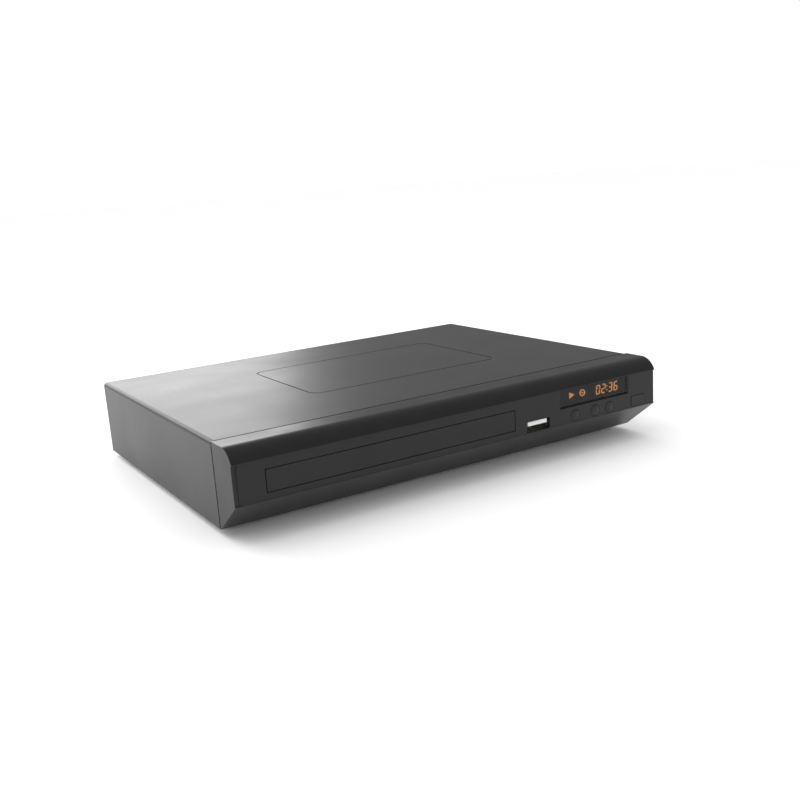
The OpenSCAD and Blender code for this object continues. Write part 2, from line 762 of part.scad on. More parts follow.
module usb_shell() {
  wall = 0.3;
  color([0.7, 0.7, 0.71]) translate(face_at(usb_x, usb_z + usb_h / 2)) {
    difference() {
      upright(wall_back_y + 0.05, usb_d) square([usb_w + 2 * wall, usb_h + 2 * wall], center = true);
      upright(wall_back_y - 1, usb_d + 0.5) square([usb_w, usb_h], center = true);
    }
  }
}

module usb_tongue() {
  tongue_y = panel_y + 0.7;
  color([0.9, 0.9, 0.88]) translate(face_at(usb_x, usb_z + usb_h - 1.4))
    upright(tongue_y, wall_back_y + usb_d - 0.5 - tongue_y) square([11.1, 1.9], center = true);
}

// ---- Tray and loader -----------------------------------------------------

module tray() {
  half = tray_w / 2;
  rack_last = floor((tray_rear - drive_y) / (PI * rack_module) - 1.5);
  color([0.14, 0.14, 0.145]) at_disc() {
    difference() {
      block([-half, tray_front, tray_z], [half, tray_rear, tray_top]);
      block([-half + tray_t, tray_front + tray_t, tray_z - 1], [half - tray_t, tray_rear + 1, skin_z]);
      difference() {
        block([-half + tray_t, tray_front + tray_t, tray_z - 1],
              [half - tray_t, tray_rear - tray_t, tray_top - tray_t]);
        cylinder(r = pocket_r + tray_t, h = body_top);
        block([-slot_w / 2 - tray_t, 0, 0], [slot_w / 2 + tray_t, tray_rear + 1, body_top]);
      }
      translate([0, 0, ledge_z]) cylinder(r = pocket_r, h = body_top);
      translate([0, 0, pocket_z]) cylinder(r = pocket_r - 2.2, h = body_top);
      translate([0, 0, pocket_z - 0.5]) cylinder(r = small_pocket_r, h = body_top);
      cylinder(r = slot_w / 2, h = body_top);
      block([-slot_w / 2, 0, 0], [slot_w / 2, tray_rear + 1, body_top]);
    }
    translate([rack_x, drive_y, tray_z + 0.1]) linear_extrude(skin_z - tray_z)
      rack_outline(rack_module, 1.41, -1, rack_last);
  }
}

module tray_door() {
  color([0.12, 0.12, 0.125]) {
    translate(face_at(disc_from_left, door_centre_z))
      upright(panel_y, door_t) round_rect(door_w, door_h, 0.3);
  }
}

module gear_post(x, y, r, z) {
  translate([x, y, frame_z]) cylinder(r = r, h = z - frame_z);
}

drive_post_r = 2;
pulley_post_r = 1.6;
bridge_screw_x = frame_half + 0.4;
bridge_screw_y = [-10, 10];

module loader_frame() {
  floor_z = frame_z + frame_floor;
  color([0.2, 0.2, 0.21]) at_disc() difference() {
    union() {
      difference() {
        block([-frame_half, frame_front, frame_z], [frame_half, frame_rear, floor_z]);
        block([bay_left, bay_front, frame_z - 1], [bay_right, bay_rear, floor_z + 1]);
      }
      for (s = [-1, 1]) {
        block([s > 0 ? frame_in : -frame_half, frame_front, frame_z],
              [s > 0 ? frame_half : -frame_in, frame_rear, frame_top]);
        block([s > 0 ? frame_in - 2.75 : -frame_in - 0.1, frame_front + 6, tray_z - 2.1],
              [s > 0 ? frame_in + 0.1 : -frame_in + 2.75, frame_rear, tray_z - 0.1]);
        for (y = bridge_screw_y)
          translate([s * bridge_screw_x, y, frame_z]) cylinder(r = 3, h = frame_top - frame_z);
      }
      block([-frame_half, bay_rear, frame_z], [frame_half, frame_rear, tray_z - 2.1]);
      for (x = [bay_left - 4, bay_right])
        block([x, pivot_y - 4, frame_z], [x + 4, pivot_y + 4, pin_z + 3]);
      translate([motor_x, motor_y, frame_z]) cylinder(r = motor_r + 1, h = 8);
      gear_post(drive_x, drive_y, drive_post_r, skin_z - 0.6);
      gear_post(pulley_x, drive_y, pulley_post_r, belt_z + 2.4);
      for (x = [cam_x - 14, cam_x + 20])
        block([x, cam_y - 8.5, frame_z], [x + 3, cam_y - 6.3, floor_z + 3]);
    }
    translate([motor_x, motor_y, 0]) cylinder(r = motor_r + 0.15, h = body_top);
    for (x = [-1, 1], y = [frame_front + 5, frame_rear - 5])
      translate([x * (frame_half - 6), y, 0]) cylinder(r = screw_r + 0.2, h = floor_z + screw_head_h + 1);
    for (x = [-1, 1], y = bridge_screw_y)
      translate([x * bridge_screw_x, y, frame_top - 8]) cylinder(r = boss_bore, h = 10);
    translate([bay_left - 5, pivot_y, pin_z]) rotate([0, 90, 0])
      cylinder(r = pin_r + run_gap, h = bay_right - bay_left + 10);
  }
}

module clamp_bridge() {
  bridge_t = 1.2;
  color([0.66, 0.67, 0.68]) at_disc() difference() {
    union() {
      block([-bridge_screw_x - 3, -14, frame_top], [bridge_screw_x + 3, 14, frame_top + bridge_t]);
      translate([0, 0, frame_top]) cylinder(r = 19, h = bridge_t);
    }
    cylinder(r = 8.6, h = body_top);
    for (x = [-1, 1], y = bridge_screw_y)
      translate([x * bridge_screw_x, y, 0]) cylinder(r = screw_r + 0.2, h = body_top);
    for (s = [-1, 1])
      block([s * 40 - 10, -8, 0], [s * 40 + 10, 8, body_top]);
  }
}

puck_z = seat_z + 1.3;
puck_flange_z = frame_top + 1.5;
module clamp_puck() {
  color([0.85, 0.85, 0.84]) at_disc() difference() {
    union() {
      translate([0, 0, puck_z]) cylinder(r = puck_r, h = 1.5);
      translate([0, 0, puck_z]) cylinder(r = 8, h = puck_flange_z - puck_z + 1);
      translate([0, 0, puck_flange_z]) cylinder(r = 11.5, h = 1.2);
    }
    translate([0, 0, puck_z - 1]) cylinder(r = 7.7, h = 1.6);
    translate([0, 0, puck_z + 2]) cylinder(r = 6.6, h = 10);
  }
}

module clamp_magnet() {
  color([0.35, 0.35, 0.36]) at_disc()
    translate([0, 0, puck_z + 2]) tube(6.5, 2, 2.2);
}

module loading_motor() {
  can_z = floor_top + 1;
  color([0.72, 0.73, 0.74]) at_disc() translate([motor_x, motor_y, can_z]) {
    cylinder(r = motor_r, h = frame_z + 9 - can_z);
    cylinder(r = 3, h = frame_z + 9.6 - can_z);
    cylinder(r = 0.75, h = belt_z + 2 - can_z);
  }
}

// Belt pulley with two flanges and a square groove, its groove at belt_z.
module pulley(groove, bore) {
  difference() {
    union() {
      translate([0, 0, belt_z - 0.7]) cylinder(r = groove + 1.2, h = 0.6);
      translate([0, 0, belt_z - 0.2]) cylinder(r = groove, h = belt_t + 0.4);
      translate([0, 0, belt_z + belt_t + 0.1]) cylinder(r = groove + 1.2, h = 0.6);
    }
    cylinder(r = bore, h = body_top);
  }
}

module motor_pulley() {
  color([0.8, 0.75, 0.5]) at_disc() translate([motor_x, motor_y, 0]) pulley(motor_pulley_r, 0.77);
}

belt_run = norm([motor_x - pulley_x, motor_y - drive_y]);
belt_turn = atan2(motor_y - drive_y, motor_x - pulley_x);

// Outline of a taut belt round two circles, the first at the origin.
module belt_outline(r1, r2) {
  a = 90 - asin((r1 - r2) / belt_run);
  polygon(concat(
    [for (i = [0 : 32]) let(t = a + i * (360 - 2 * a) / 32) r1 * [cos(t), sin(t)]],
    [for (i = [0 : 16]) let(t = -a + i * 2 * a / 16) [belt_run, 0] + r2 * [cos(t), sin(t)]]));
}

module drive_belt() {
  in = 0.06;
  color([0.07, 0.07, 0.07]) at_disc() translate([pulley_x, drive_y, belt_z]) rotate(belt_turn)
    linear_extrude(belt_t) difference() {
      belt_outline(pulley_r + in + belt_t, motor_pulley_r + in + belt_t);
      belt_outline(pulley_r + in, motor_pulley_r + in);
    }
}

module pulley_gear() {
  color([0.9, 0.9, 0.88]) at_disc() translate([pulley_x, drive_y, 0]) {
    pulley(pulley_r, pulley_post_r + run_gap);
    difference() {
      union() {
        translate([0, 0, wheel_z - 0.1]) linear_extrude(wheel_h + 0.2)
          gear_outline(pinion_teeth, wheel_module, 180 + 180 / pinion_teeth);
        translate([0, 0, wheel_z + wheel_h]) cylinder(r = 3, h = belt_z - 0.6 - wheel_z - wheel_h);
      }
      cylinder(r = pulley_post_r + run_gap, h = body_top);
    }
  }
}

module tray_drive_gear() {
  gear_z = tray_z + 0.3;
  color([0.92, 0.92, 0.9]) at_disc() translate([drive_x, drive_y, 0]) difference() {
    union() {
      translate([0, 0, wheel_z]) linear_extrude(wheel_h) gear_outline(wheel_teeth, wheel_module, 0);
      translate([0, 0, wheel_z + 0.1]) cylinder(r = 4, h = gear_z - wheel_z);
      translate([0, 0, gear_z]) linear_extrude(skin_z - 0.3 - gear_z)
        gear_outline(rack_gear_teeth, rack_module, 180);
    }
    cylinder(r = drive_post_r + run_gap, h = body_top);
  }
}

// A slot from the origin along +X with two round ends.
module slot_outline(l, r) {
  polygon(concat(
    [for (i = [0 : 12]) let(t = 90 + i * 15) r * [cos(t), sin(t)]],
    [for (i = [0 : 12]) let(t = -90 + i * 15) [l, 0] + r * [cos(t), sin(t)]]));
}

module cam_slider() {
  slot_r = pin_r + 0.2;
  low = pin_z - cam_drop - slot_r - 1;
  color([0.9, 0.9, 0.88]) at_disc() difference() {
    union() {
      block([cam_x - cam_travel - 2.9, cam_y, low], [cam_x + 3, cam_y + 2, pin_z + slot_r + 1.4]);
      block([cam_x - cam_travel - 2.9, cam_y - 6, frame_z + frame_floor + 0.15],
            [cam_x + 3, cam_y + 0.1, frame_z + frame_floor + 1.6]);
    }
    upright(cam_y - 1.2, 4) translate([cam_x, pin_z]) rotate(180 + atan(cam_drop / cam_travel))
      slot_outline(norm([cam_travel, cam_drop]), slot_r);
  }
}

// ---- Lift frame and pickup -------------------------------------------------

damper_spots = [for (x = [ring_left + 3, ring_right - 2.5], y = [ring_front + 8, ring_rear - 10]) [x, y]];

module lift_frame() {
  color([0.24, 0.24, 0.25]) at_disc() {
    difference() {
      block([ring_left, ring_front, ring_z], [ring_right, ring_rear, ring_z + ring_t]);
      block([ring_left + 6, ring_front + 5, ring_z - 1],
            [ring_right - 5, window_rear + 2.8, ring_z + ring_t + 1]);
      for (p = damper_spots)
        translate([p[0], p[1], 0]) cylinder(r = 0.85, h = body_top);
    }
    bar_y(cam_x, cam_y - 0.6, pin_z, pin_r, ring_front - cam_y + 0.7);
    for (x = [ring_left - 4.4, ring_right - 0.1])
      translate([x, pivot_y, pin_z]) rotate([0, 90, 0]) cylinder(r = pin_r, h = 4.5);
  }
}

module traverse_dampers() {
  color([0.1, 0.1, 0.1]) at_disc()
    for (p = damper_spots)
      translate([p[0], p[1], ring_z + ring_t]) tube(2.4, 0.9, damper_h);
}

module damper_screws() {
  color([0.7, 0.7, 0.72]) at_disc()
    for (p = damper_spots)
      translate([p[0], p[1], 0]) {
        translate([0, 0, plate_top]) cylinder(r = 2, h = 1.1);
        translate([0, 0, ring_z + 0.2]) cylinder(r = 0.8, h = plate_top - ring_z);
      }
}

sled_window = rod_x - 2.4;
module traverse_plate() {
  color([0.68, 0.69, 0.7]) at_disc() difference() {
    union() {
      block([ring_left + 0.4, ring_front + 1.5, plate_z], [ring_right - 0.2, ring_rear - 1.5, plate_top]);
      for (s = [-1, 1], y = [window_front - 2.4, window_rear])
        block([s * rod_x - 2.4, y, rod_z - 2], [s * rod_x + 2.4, y + 2.4, plate_z + 0.1]);
      translate([sled_gear_x, sled_gear_y, plate_z]) cylinder(r = 1, h = plate_t + 4);
    }
    block([-sled_window, window_front, plate_z - 1], [sled_window, window_rear, plate_top + 1]);
    cylinder(r = 3.7, h = body_top);
    translate([sled_motor_x, sled_gear_y, 0]) cylinder(r = 2.2, h = body_top);
    for (s = [-1, 1])
      bar_y(s * rod_x, window_front - 3, rod_z, rod_r + 0.02, window_rear - window_front + 8);
    for (p = damper_spots)
      translate([p[0], p[1], 0]) cylinder(r = 0.9, h = body_top);
    for (x = [-29, 32])
      block([x, 56, 0], [x + 6, 70, body_top]);
  }
}

module guide_rods() {
  color([0.8, 0.8, 0.82]) at_disc()
    for (s = [-1, 1])
      bar_y(s * rod_x, window_front - 2.2, rod_z, rod_r, window_rear - window_front + 4.4);
}

module spindle_motor() {
  color([0.7, 0.7, 0.71]) at_disc() difference() {
    union() {
      translate([0, 0, plate_z - 6.3]) cylinder(r = spindle_r, h = 6.3);
      translate([0, 0, plate_z - 1]) cylinder(r = 3.5, h = plate_t + 1.3);
    }
    translate([0, 0, plate_z - 5]) cylinder(r = shaft_r + run_gap, h = 20);
  }
}

module turntable() {
  color([0.15, 0.15, 0.16]) at_disc() {
    translate([0, 0, plate_z - 4.8]) cylinder(r = shaft_r, h = seat_z - plate_z + 5);
    translate([0, 0, plate_top + 0.6]) cylinder(r = 6, h = seat_z - 2.2 - plate_top);
    translate([0, 0, seat_z - 1.9]) cylinder(r = turntable_r, h = 1.6);
    translate([0, 0, seat_z - 0.4]) cylinder(r1 = 7.4, r2 = 7.2, h = 1.4);
    translate([0, 0, seat_z + 0.9]) cylinder(r1 = 7.2, r2 = 5.4, h = 0.8);
  }
}

module turntable_mat() {
  color([0.06, 0.06, 0.06]) at_disc()
    translate([0, 0, seat_z - 0.3]) tube(turntable_r - 0.3, 8.6, 0.3);
}

module pickup_sled() {
  low = rod_z - 1.9;
  high = plate_z - 0.4;
  half = sled_window - 1;
  top = plate_top + 3.2;
  gear_low = plate_top + 0.4;
  color([0.3, 0.3, 0.32]) at_disc() {
    difference() {
      union() {
        block([-half, sled_y - sled_front, low], [half, sled_y + sled_back, top]);
        for (s = [-1, 1])
          block([s > 0 ? half - 0.1 : -rod_x - 3, sled_y - sled_front, low],
                [s > 0 ? rod_x + 3 : 0.1 - half, sled_y + sled_back, high]);
        block([half - 0.1, sled_y - sled_front, gear_low],
              [sled_rack_x - 1.7, sled_y + sled_back, gear_low + 2]);
        translate([sled_rack_x, sled_gear_y, gear_low]) linear_extrude(2)
          rack_outline(sled_module, 1.2, -24, 0);
      }
      for (s = [-1, 1])
        bar_y(s * rod_x, 0, rod_z, rod_r + run_gap, ring_rear);
      block([-7.8, sled_y - 5.8, plate_top + 0.2], [7.8, sled_y + 5.8, top + 1]);
      for (s = [-1, 1])
        block([s * rod_x - 4, sled_y - sled_front + 6, low - 1],
              [s * rod_x + 4, sled_y + sled_back - 6, rod_z - 1]);
    }
    for (s = [-1, 1])
      translate([s * lens_pin_x, sled_y, plate_top + 0.1]) cylinder(r = lens_pin_r, h = 4.4);
  }
}

lens_z = plate_top + 1.4;
lens_pin_x = 5.2;
lens_pin_r = 0.6;
module lens_holder() {
  color([0.1, 0.1, 0.11]) at_disc() translate([0, sled_y, lens_z]) difference() {
    union() {
      translate([-7, -5, 0]) cube([14, 10, 2.4]);
      cylinder(r = 3.4, h = 3.4);
    }
    translate([0, 0, -1]) cylinder(r = 1.6, h = 6);
    translate([0, 0, 2.4]) cylinder(r = 2.35, h = 2);
    for (s = [-1, 1])
      translate([s * lens_pin_x, 0, -1]) cylinder(r = lens_pin_r + run_gap, h = 5);
  }
}

module objective_lens() {
  color([0.55, 0.65, 0.85, 0.6]) at_disc() translate([0, sled_y, lens_z + 2.4]) {
    cylinder(r = 2.3, h = 0.7);
    intersection() {
      translate([0, 0, -2.6]) sphere(r = 4, $fn = 48);
      cylinder(r = 2, h = 2);
    }
  }
}

module sled_motor() {
  color([0.72, 0.73, 0.74]) at_disc() translate([sled_motor_x, sled_gear_y, 0]) {
    translate([0, 0, plate_z - 8.5]) cylinder(r = sled_motor_r, h = 8.5);
    translate([0, 0, plate_z - 1]) cylinder(r = 2, h = plate_t + 1.4);
    translate([0, 0, plate_z - 1]) cylinder(r = 0.5, h = plate_t + 4.8);
  }
}

sled_wheel_z = plate_top + 2.6;
module sled_motor_pinion() {
  color([0.8, 0.75, 0.5]) at_disc() translate([sled_motor_x, sled_gear_y, sled_wheel_z]) difference() {
    linear_extrude(1.2) gear_outline(sled_pinion_teeth, sled_wheel_module, 180 + 180 / sled_pinion_teeth);
    translate([0, 0, -1]) cylinder(r = 0.51, h = 4);
  }
}

module sled_gear() {
  color([0.92, 0.92, 0.9]) at_disc() translate([sled_gear_x, sled_gear_y, 0]) difference() {
    union() {
      translate([0, 0, plate_top + 0.4]) linear_extrude(2.1)
        gear_outline(sled_gear_teeth, sled_module, 180);
      translate([0, 0, sled_wheel_z - 0.1]) linear_extrude(1.3)
        gear_outline(sled_wheel_teeth, sled_wheel_module, 0);
    }
    cylinder(r = 1 + run_gap, h = body_top);
  }
}

// ---- Boards and sockets ----------------------------------------------------

module board_plate(y0, y1, spots) {
  difference() {
    block([board_left, y0, board_z], [board_right, y1, board_top]);
    for (p = spots)
      translate([p[0], p[1], 0]) cylinder(r = screw_r + 0.2, h = body_top);
  }
}

module main_board() {
  color([0.1, 0.3, 0.16]) board_plate(main_front_y, main_rear_y, main_spots);
}

module power_board() {
  color([0.62, 0.5, 0.28]) board_plate(power_front_y, power_rear_y, power_spots);
}

// A flat part on the main board: its left front corner as shares of the board, then its size.
module chip(share_x, share_y, size) {
  translate([board_left + share_x * board_w, main_front_y + share_y * main_board_d, board_top]) cube(size);
}

module board_chips() {
  color([0.07, 0.07, 0.08]) {
    chip(0.33, 0.25, [18, 18, 1.6]);
    chip(0.67, 0.25, [8, 16, 1.2]);
    chip(0.13, 0.28, [8, 8, 1.4]);
    chip(0.79, 0.17, [7, 4, 1.4]);
    chip(0.28, 0.03, [22, 4, 6]);
    translate([board_left + 1, main_front_y + 12, board_top]) cube([4, 20, 3]);
  }
}

transformer_x = board_left + 0.56 * board_w;
transformer_y = power_rear_y - 0.54 * power_board_d;
// Depth of the flat cable's crossing below the cover's inner face.
ribbon_drop = 7.1;
transformer_h = inner_top - ribbon_drop - 3.5 - board_top;
module transformer() {
  flange_w = 22;
  flange_d = 20;
  flange_t = 3;
  core_h = transformer_h - 2 * flange_t;
  color([0.75, 0.62, 0.2]) translate([transformer_x, transformer_y, board_top]) {
    for (z = [0, flange_t + core_h])
      translate([-flange_w / 2, -flange_d / 2, z]) cube([flange_w, flange_d, flange_t]);
    translate([0, 0, flange_t]) cylinder(r = 8.5, h = core_h);
    for (s = [-1, 1])
      translate([s * 10 - 1, -6, flange_t]) cube([2, 12, core_h]);
  }
}

module capacitors() {
  spots = [[0.25, power_front_y + 22, 8, 20], [0.8, power_front_y + 16, 4, 12],
           [0.8, power_front_y + 27, 4, 12], [0.8, power_front_y + 38, 5, 14],
           [0.66, main_front_y + 42, 3, 8], [0.38, main_front_y + 44, 3, 8]];
  color([0.12, 0.16, 0.3])
    for (c = spots)
      translate([board_left + c[0] * board_w, c[1], board_top]) difference() {
        cylinder(r = c[2], h = c[3]);
        translate([0, 0, 1.6]) tube(c[2] + 1, c[2] - 0.3, 0.6);
        for (a = [0, 60, 120])
          translate([0, 0, c[3]]) rotate(a) cube([1.2 * c[2], 0.4, 0.5], center = true);
      }
}

fuse_x = board_left + 8;
fuse_y = power_rear_y - 24;
module fuse() {
  color([0.8, 0.82, 0.84]) translate([fuse_x, fuse_y, board_top]) {
    bar_y(0, -10, 5, 2.4, 20);
    for (y = [-10, 4.5])
      translate([-2.9, y, 0]) difference() {
        cube([5.8, 5.5, 6.4]);
        translate([1.2, -1, 5]) cube([3.4, 8, 3]);
      }
  }
}

module mains_inlet() {
  back = cover_rear_y + 1;
  depth = 17;
  color([0.07, 0.07, 0.075]) translate([inlet_x, 0, inlet_z]) {
    difference() {
      upright(rear_y - depth, back - rear_y + depth) round_rect(inlet_w, inlet_h, 1.5);
      upright(back - 12, 13) {
        square([8.6, 9.2], center = true);
        for (s = [-1, 1])
          translate([4.3 * s, 0]) circle(r = 4.6);
      }
    }
    for (s = [-1, 1])
      bar_y(4.3 * s, back - 12.1, 0, 1.15, 9);
    bar_y(-4.3, rear_y - depth - 3, 0, 0.9, 3.1);
    bar_y(4.3, rear_y - depth - 1.5, 0, 0.9, 1.6);
  }
}

// A rectangle centred on the origin whose two lower corners are cut off.
module socket_outline(w, h, cut) {
  polygon([[-w / 2, cut - h / 2], [cut - w / 2, -h / 2], [w / 2 - cut, -h / 2],
           [w / 2, cut - h / 2], [w / 2, h / 2], [-w / 2, h / 2]]);
}

module hdmi_socket() {
  w = 15;
  h = 5.6;
  back = rear_y + 0.6;
  color([0.75, 0.75, 0.76]) translate([hdmi_x, 0, board_top + 0.2 + h / 2]) {
    difference() {
      upright(back - 12, 12) socket_outline(w, h, 1.4);
      upright(back - 10, 12) socket_outline(w - 0.8, h - 0.8, 1.2);
    }
    upright(back - 10.1, 8.5) translate([0, 0.5]) square([11.4, 1], center = true);
  }
}

function jack_spots() = [for (i = [0 : jack_columns - 1], row = [0 : jack_rows - 1])
                         [jack_x + (i - (jack_columns - 1) / 2) * jack_pitch, jack_z + row * jack_pitch]];
collar_rear_y = cover_rear_y + jack_out;
collar_wall = 0.45;

module jack_block() {
  color([0.08, 0.08, 0.085]) difference() {
    union() {
      block([jack_x - jack_half, rear_y - 13, board_top],
            [jack_x + jack_half, rear_y + 1.4, jack_top + 0.8]);
      for (p = jack_spots())
        bar_y(p[0], rear_y + 1, p[1], jack_r - collar_wall - 0.02, collar_rear_y - rear_y - 1.6);
    }
    for (p = jack_spots())
      bar_y(p[0], rear_y - 8, p[1], 1.65, 30);
  }
}

module jack_collars() {
  color([0.82, 0.82, 0.83])
    for (p = jack_spots())
      translate([p[0], rear_y + 1.4, p[1]]) rotate([-90, 0, 0])
        tube(jack_r, jack_r - collar_wall, collar_rear_y - rear_y - 1.4);
}

// A wire swept along a route as one closed surface with eight sides.
function heading(route, i) =
  let(last = len(route) - 1, b = route[i],
      u = i == 0 ? route[1] - b : b - route[i - 1],
      v = i == last ? b - route[i - 1] : route[i + 1] - b,
      t = u / norm(u) + v / norm(v))
  t / norm(t);
function ring_side(route, i) =
  let(t = heading(route, i),
      before = i == 0 ? [0.3, 0.2, 1] : ring_side(route, i - 1),
      s = before - (before * t) * t)
  s / norm(s);
function route_ring(route, i, r) =
  let(side = ring_side(route, i), up = cross(side, heading(route, i)))
  [for (k = [0 : 7]) route[i] + r * (cos(k * 45) * side + sin(k * 45) * up)];
module wire(route, r) {
  rings = len(route);
  polyhedron(
    points = [for (i = [0 : rings - 1], p = route_ring(route, i, r)) p],
    faces = concat([[for (k = [7 : -1 : 0]) k]],
                   [[for (k = [0 : 7]) (rings - 1) * 8 + k]],
                   [for (i = [0 : rings - 2], k = [0 : 7], half = [0, 1])
                     let(n = (k + 1) % 8, p = i * 8)
                     half == 0 ? [p + k, p + n, p + 8 + k] : [p + n, p + 8 + n, p + 8 + k]]));
}

// Route of one mains wire from an inlet tab to the power board's edge.
function mains_route(tab_x, step) =
  let(y1 = disc_y + frame_rear + 0.9 + step, x1 = board_left - 3.4 + step,
      z1 = floor_top + 1.6, y2 = fuse_y - 20 + step, z2 = board_top + 4)
  [[tab_x, y1, inlet_z + 0.6], [tab_x, y1, z1 + 1], [tab_x + 1, y1, z1], [x1 - 2, y1, z1],
   [x1, y1 - 2, z1], [x1, y2 + 2, z1], [x1, y2, z1 + 2],
   [x1, y2, z2 - 1], [x1 + 1, y2, z2], [board_left + 1.4, y2, z2]];

module mains_wires() {
  color([0.35, 0.2, 0.12]) wire(mains_route(inlet_x - 4.3, 0), 0.7);
  color([0.15, 0.25, 0.5]) wire(mains_route(inlet_x + 4.3, 1.5), 0.7);
  color([0.9, 0.9, 0.88])
    block([board_left + 1.5, fuse_y - 23, board_top], [board_left + 7, fuse_y - 13, board_top + 7]);
}

ribbon_t = 0.3;
module ribbon_cables() {
  x0 = board_left + 0.32 * board_w;
  back_y = front_board_y + pcb_t;
  high_z = inner_top - ribbon_drop;
  color([0.85, 0.85, 0.83]) {
    block([x0, back_y, feet_h + 27], [x0 + 16, back_y + 2.4, feet_h + 31]);
    block([x0, back_y + 2.4, feet_h + 28.6], [x0 + 16, back_y + 4, feet_h + 28.6 + ribbon_t]);
    block([x0, back_y + 3.7, feet_h + 28.6], [x0 + 16, back_y + 4, high_z + ribbon_t]);
    block([x0, back_y + 3.7, high_z], [x0 + 16, main_front_y + 4, high_z + ribbon_t]);
    block([x0, main_front_y + 3.7, board_top + 6], [x0 + 16, main_front_y + 4, high_z + ribbon_t]);
    block([board_left - 0.6, main_front_y + 14, board_top + 3.1],
          [board_left + 4, main_front_y + 30, board_top + 3.1 + ribbon_t]);
    block([board_left - 0.6, main_front_y + 14, floor_top + 0.1],
          [board_left - 0.6 + ribbon_t, main_front_y + 30, board_top + 3.1 + ribbon_t]);
    block([disc_x + 10, main_front_y + 14, floor_top + 0.1],
          [board_left - 0.3, main_front_y + 30, floor_top + 0.1 + ribbon_t]);
  }
}

// ---- Fasteners ---------------------------------------------------------------

module case_screws() {
  loader_z = frame_z + frame_floor;
  color([0.3, 0.3, 0.31]) {
    for (x = cover_screw_x)
      translate([x, cover_rear_y, cover_screw_z]) rotate([-90, 0, 0]) screw_down(6);
    for (x = rear_tab_x)
      translate([x, rear_y, rear_screw_z]) rotate([-90, 0, 0]) screw_down(6);
    for (x = lug_x)
      translate([x, lug_y, feet_h]) rotate([180, 0, 0]) screw_down(5);
    for (p = loader_spots)
      translate([p[0], p[1], loader_z]) screw_down(5);
    for (p = concat(main_spots, power_spots))
      translate([p[0], p[1], board_top]) screw_down(6);
    for (s = [-1, 1], y = bridge_screw_y)
      translate([disc_x + s * bridge_screw_x, disc_y + y, frame_top + 1.2]) screw_down(6);
  }
}

// ---- Assembly ----------------------------------------------------------------

base_chassis();
top_cover();
rear_panel();
front_bezel();
feet();
display_window();
display_module();
display_segments();
front_board();
ir_receiver();
tact_switches();
round_button(open_x);  // open_close_button
round_button(play_x);  // play_button
round_button(stop_x);  // stop_button
power_button();
plunger(open_x, button_z);  // open_close_plunger
plunger(play_x, button_z);  // play_plunger
plunger(stop_x, button_z);  // stop_plunger
plunger(power_x, power_z);  // power_plunger
usb_shell();
usb_tongue();
tray();
tray_door();
loader_frame();
clamp_bridge();
clamp_puck();
clamp_magnet();
loading_motor();
motor_pulley();
drive_belt();
pulley_gear();
tray_drive_gear();
cam_slider();
lift_frame();
traverse_plate();
traverse_dampers();
damper_screws();
spindle_motor();
turntable();
turntable_mat();
pickup_sled();
lens_holder();
objective_lens();
guide_rods();
sled_motor();
sled_motor_pinion();
sled_gear();
main_board();
board_chips();
power_board();
transformer();
capacitors();
mains_inlet();
hdmi_socket();
jack_block();
jack_collars();
mains_wires();
ribbon_cables();
case_screws();
fuse();
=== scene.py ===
"""Looks of a compact disc player with a sliding tray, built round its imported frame."""

import json
import logging
import math
from dataclasses import dataclass
from enum import Enum
from typing import Any

import bmesh
import bpy
from mathutils import Matrix, Vector

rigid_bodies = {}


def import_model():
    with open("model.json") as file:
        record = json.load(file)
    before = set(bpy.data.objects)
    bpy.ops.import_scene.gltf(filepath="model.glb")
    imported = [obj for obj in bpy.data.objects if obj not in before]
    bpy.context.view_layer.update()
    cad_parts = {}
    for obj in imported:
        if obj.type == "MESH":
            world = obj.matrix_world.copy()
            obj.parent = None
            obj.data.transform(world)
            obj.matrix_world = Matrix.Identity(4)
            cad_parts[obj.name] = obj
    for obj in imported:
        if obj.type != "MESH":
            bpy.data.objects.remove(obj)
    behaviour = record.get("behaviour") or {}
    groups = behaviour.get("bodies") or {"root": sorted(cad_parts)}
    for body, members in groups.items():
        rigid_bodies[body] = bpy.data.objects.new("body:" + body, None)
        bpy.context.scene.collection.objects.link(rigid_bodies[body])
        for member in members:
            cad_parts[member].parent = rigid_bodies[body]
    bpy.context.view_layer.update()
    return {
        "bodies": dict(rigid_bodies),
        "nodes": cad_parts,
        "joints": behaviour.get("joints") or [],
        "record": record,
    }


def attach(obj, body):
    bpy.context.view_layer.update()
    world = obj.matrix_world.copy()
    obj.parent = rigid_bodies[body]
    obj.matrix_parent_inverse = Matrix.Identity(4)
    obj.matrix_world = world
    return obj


MM = 0.001
OVERLAP = 0.01
DISC_SIDES = 40
SMOOTH_ANGLE = math.radians(32.0)
LOG = logging.getLogger("player")

Point = tuple[float, float, float]
Colour = tuple[float, float, float]
Pair = tuple[float, float]


class Axis(Enum):
    """Direction in which a disc, a grain or a winding runs."""

    X = 0
    Y = 1
    Z = 2


class Body(Enum):
    """Bodies of the frame that carry added details."""

    PLAYER = "player"
    LENS = "lens"


# ---------------------------------------------------------------- node graphs


@dataclass(frozen=True)
class Pattern:
    """Noise field of one size.

    Attributes:
        scale: Cells per metre.
        detail: Octaves.
        rough: Weight of the finer octaves.
        stretch: Scale along each axis, or None for an even field.
    """

    scale: float
    detail: float = 3.0
    rough: float = 0.55
    stretch: Point | None = None


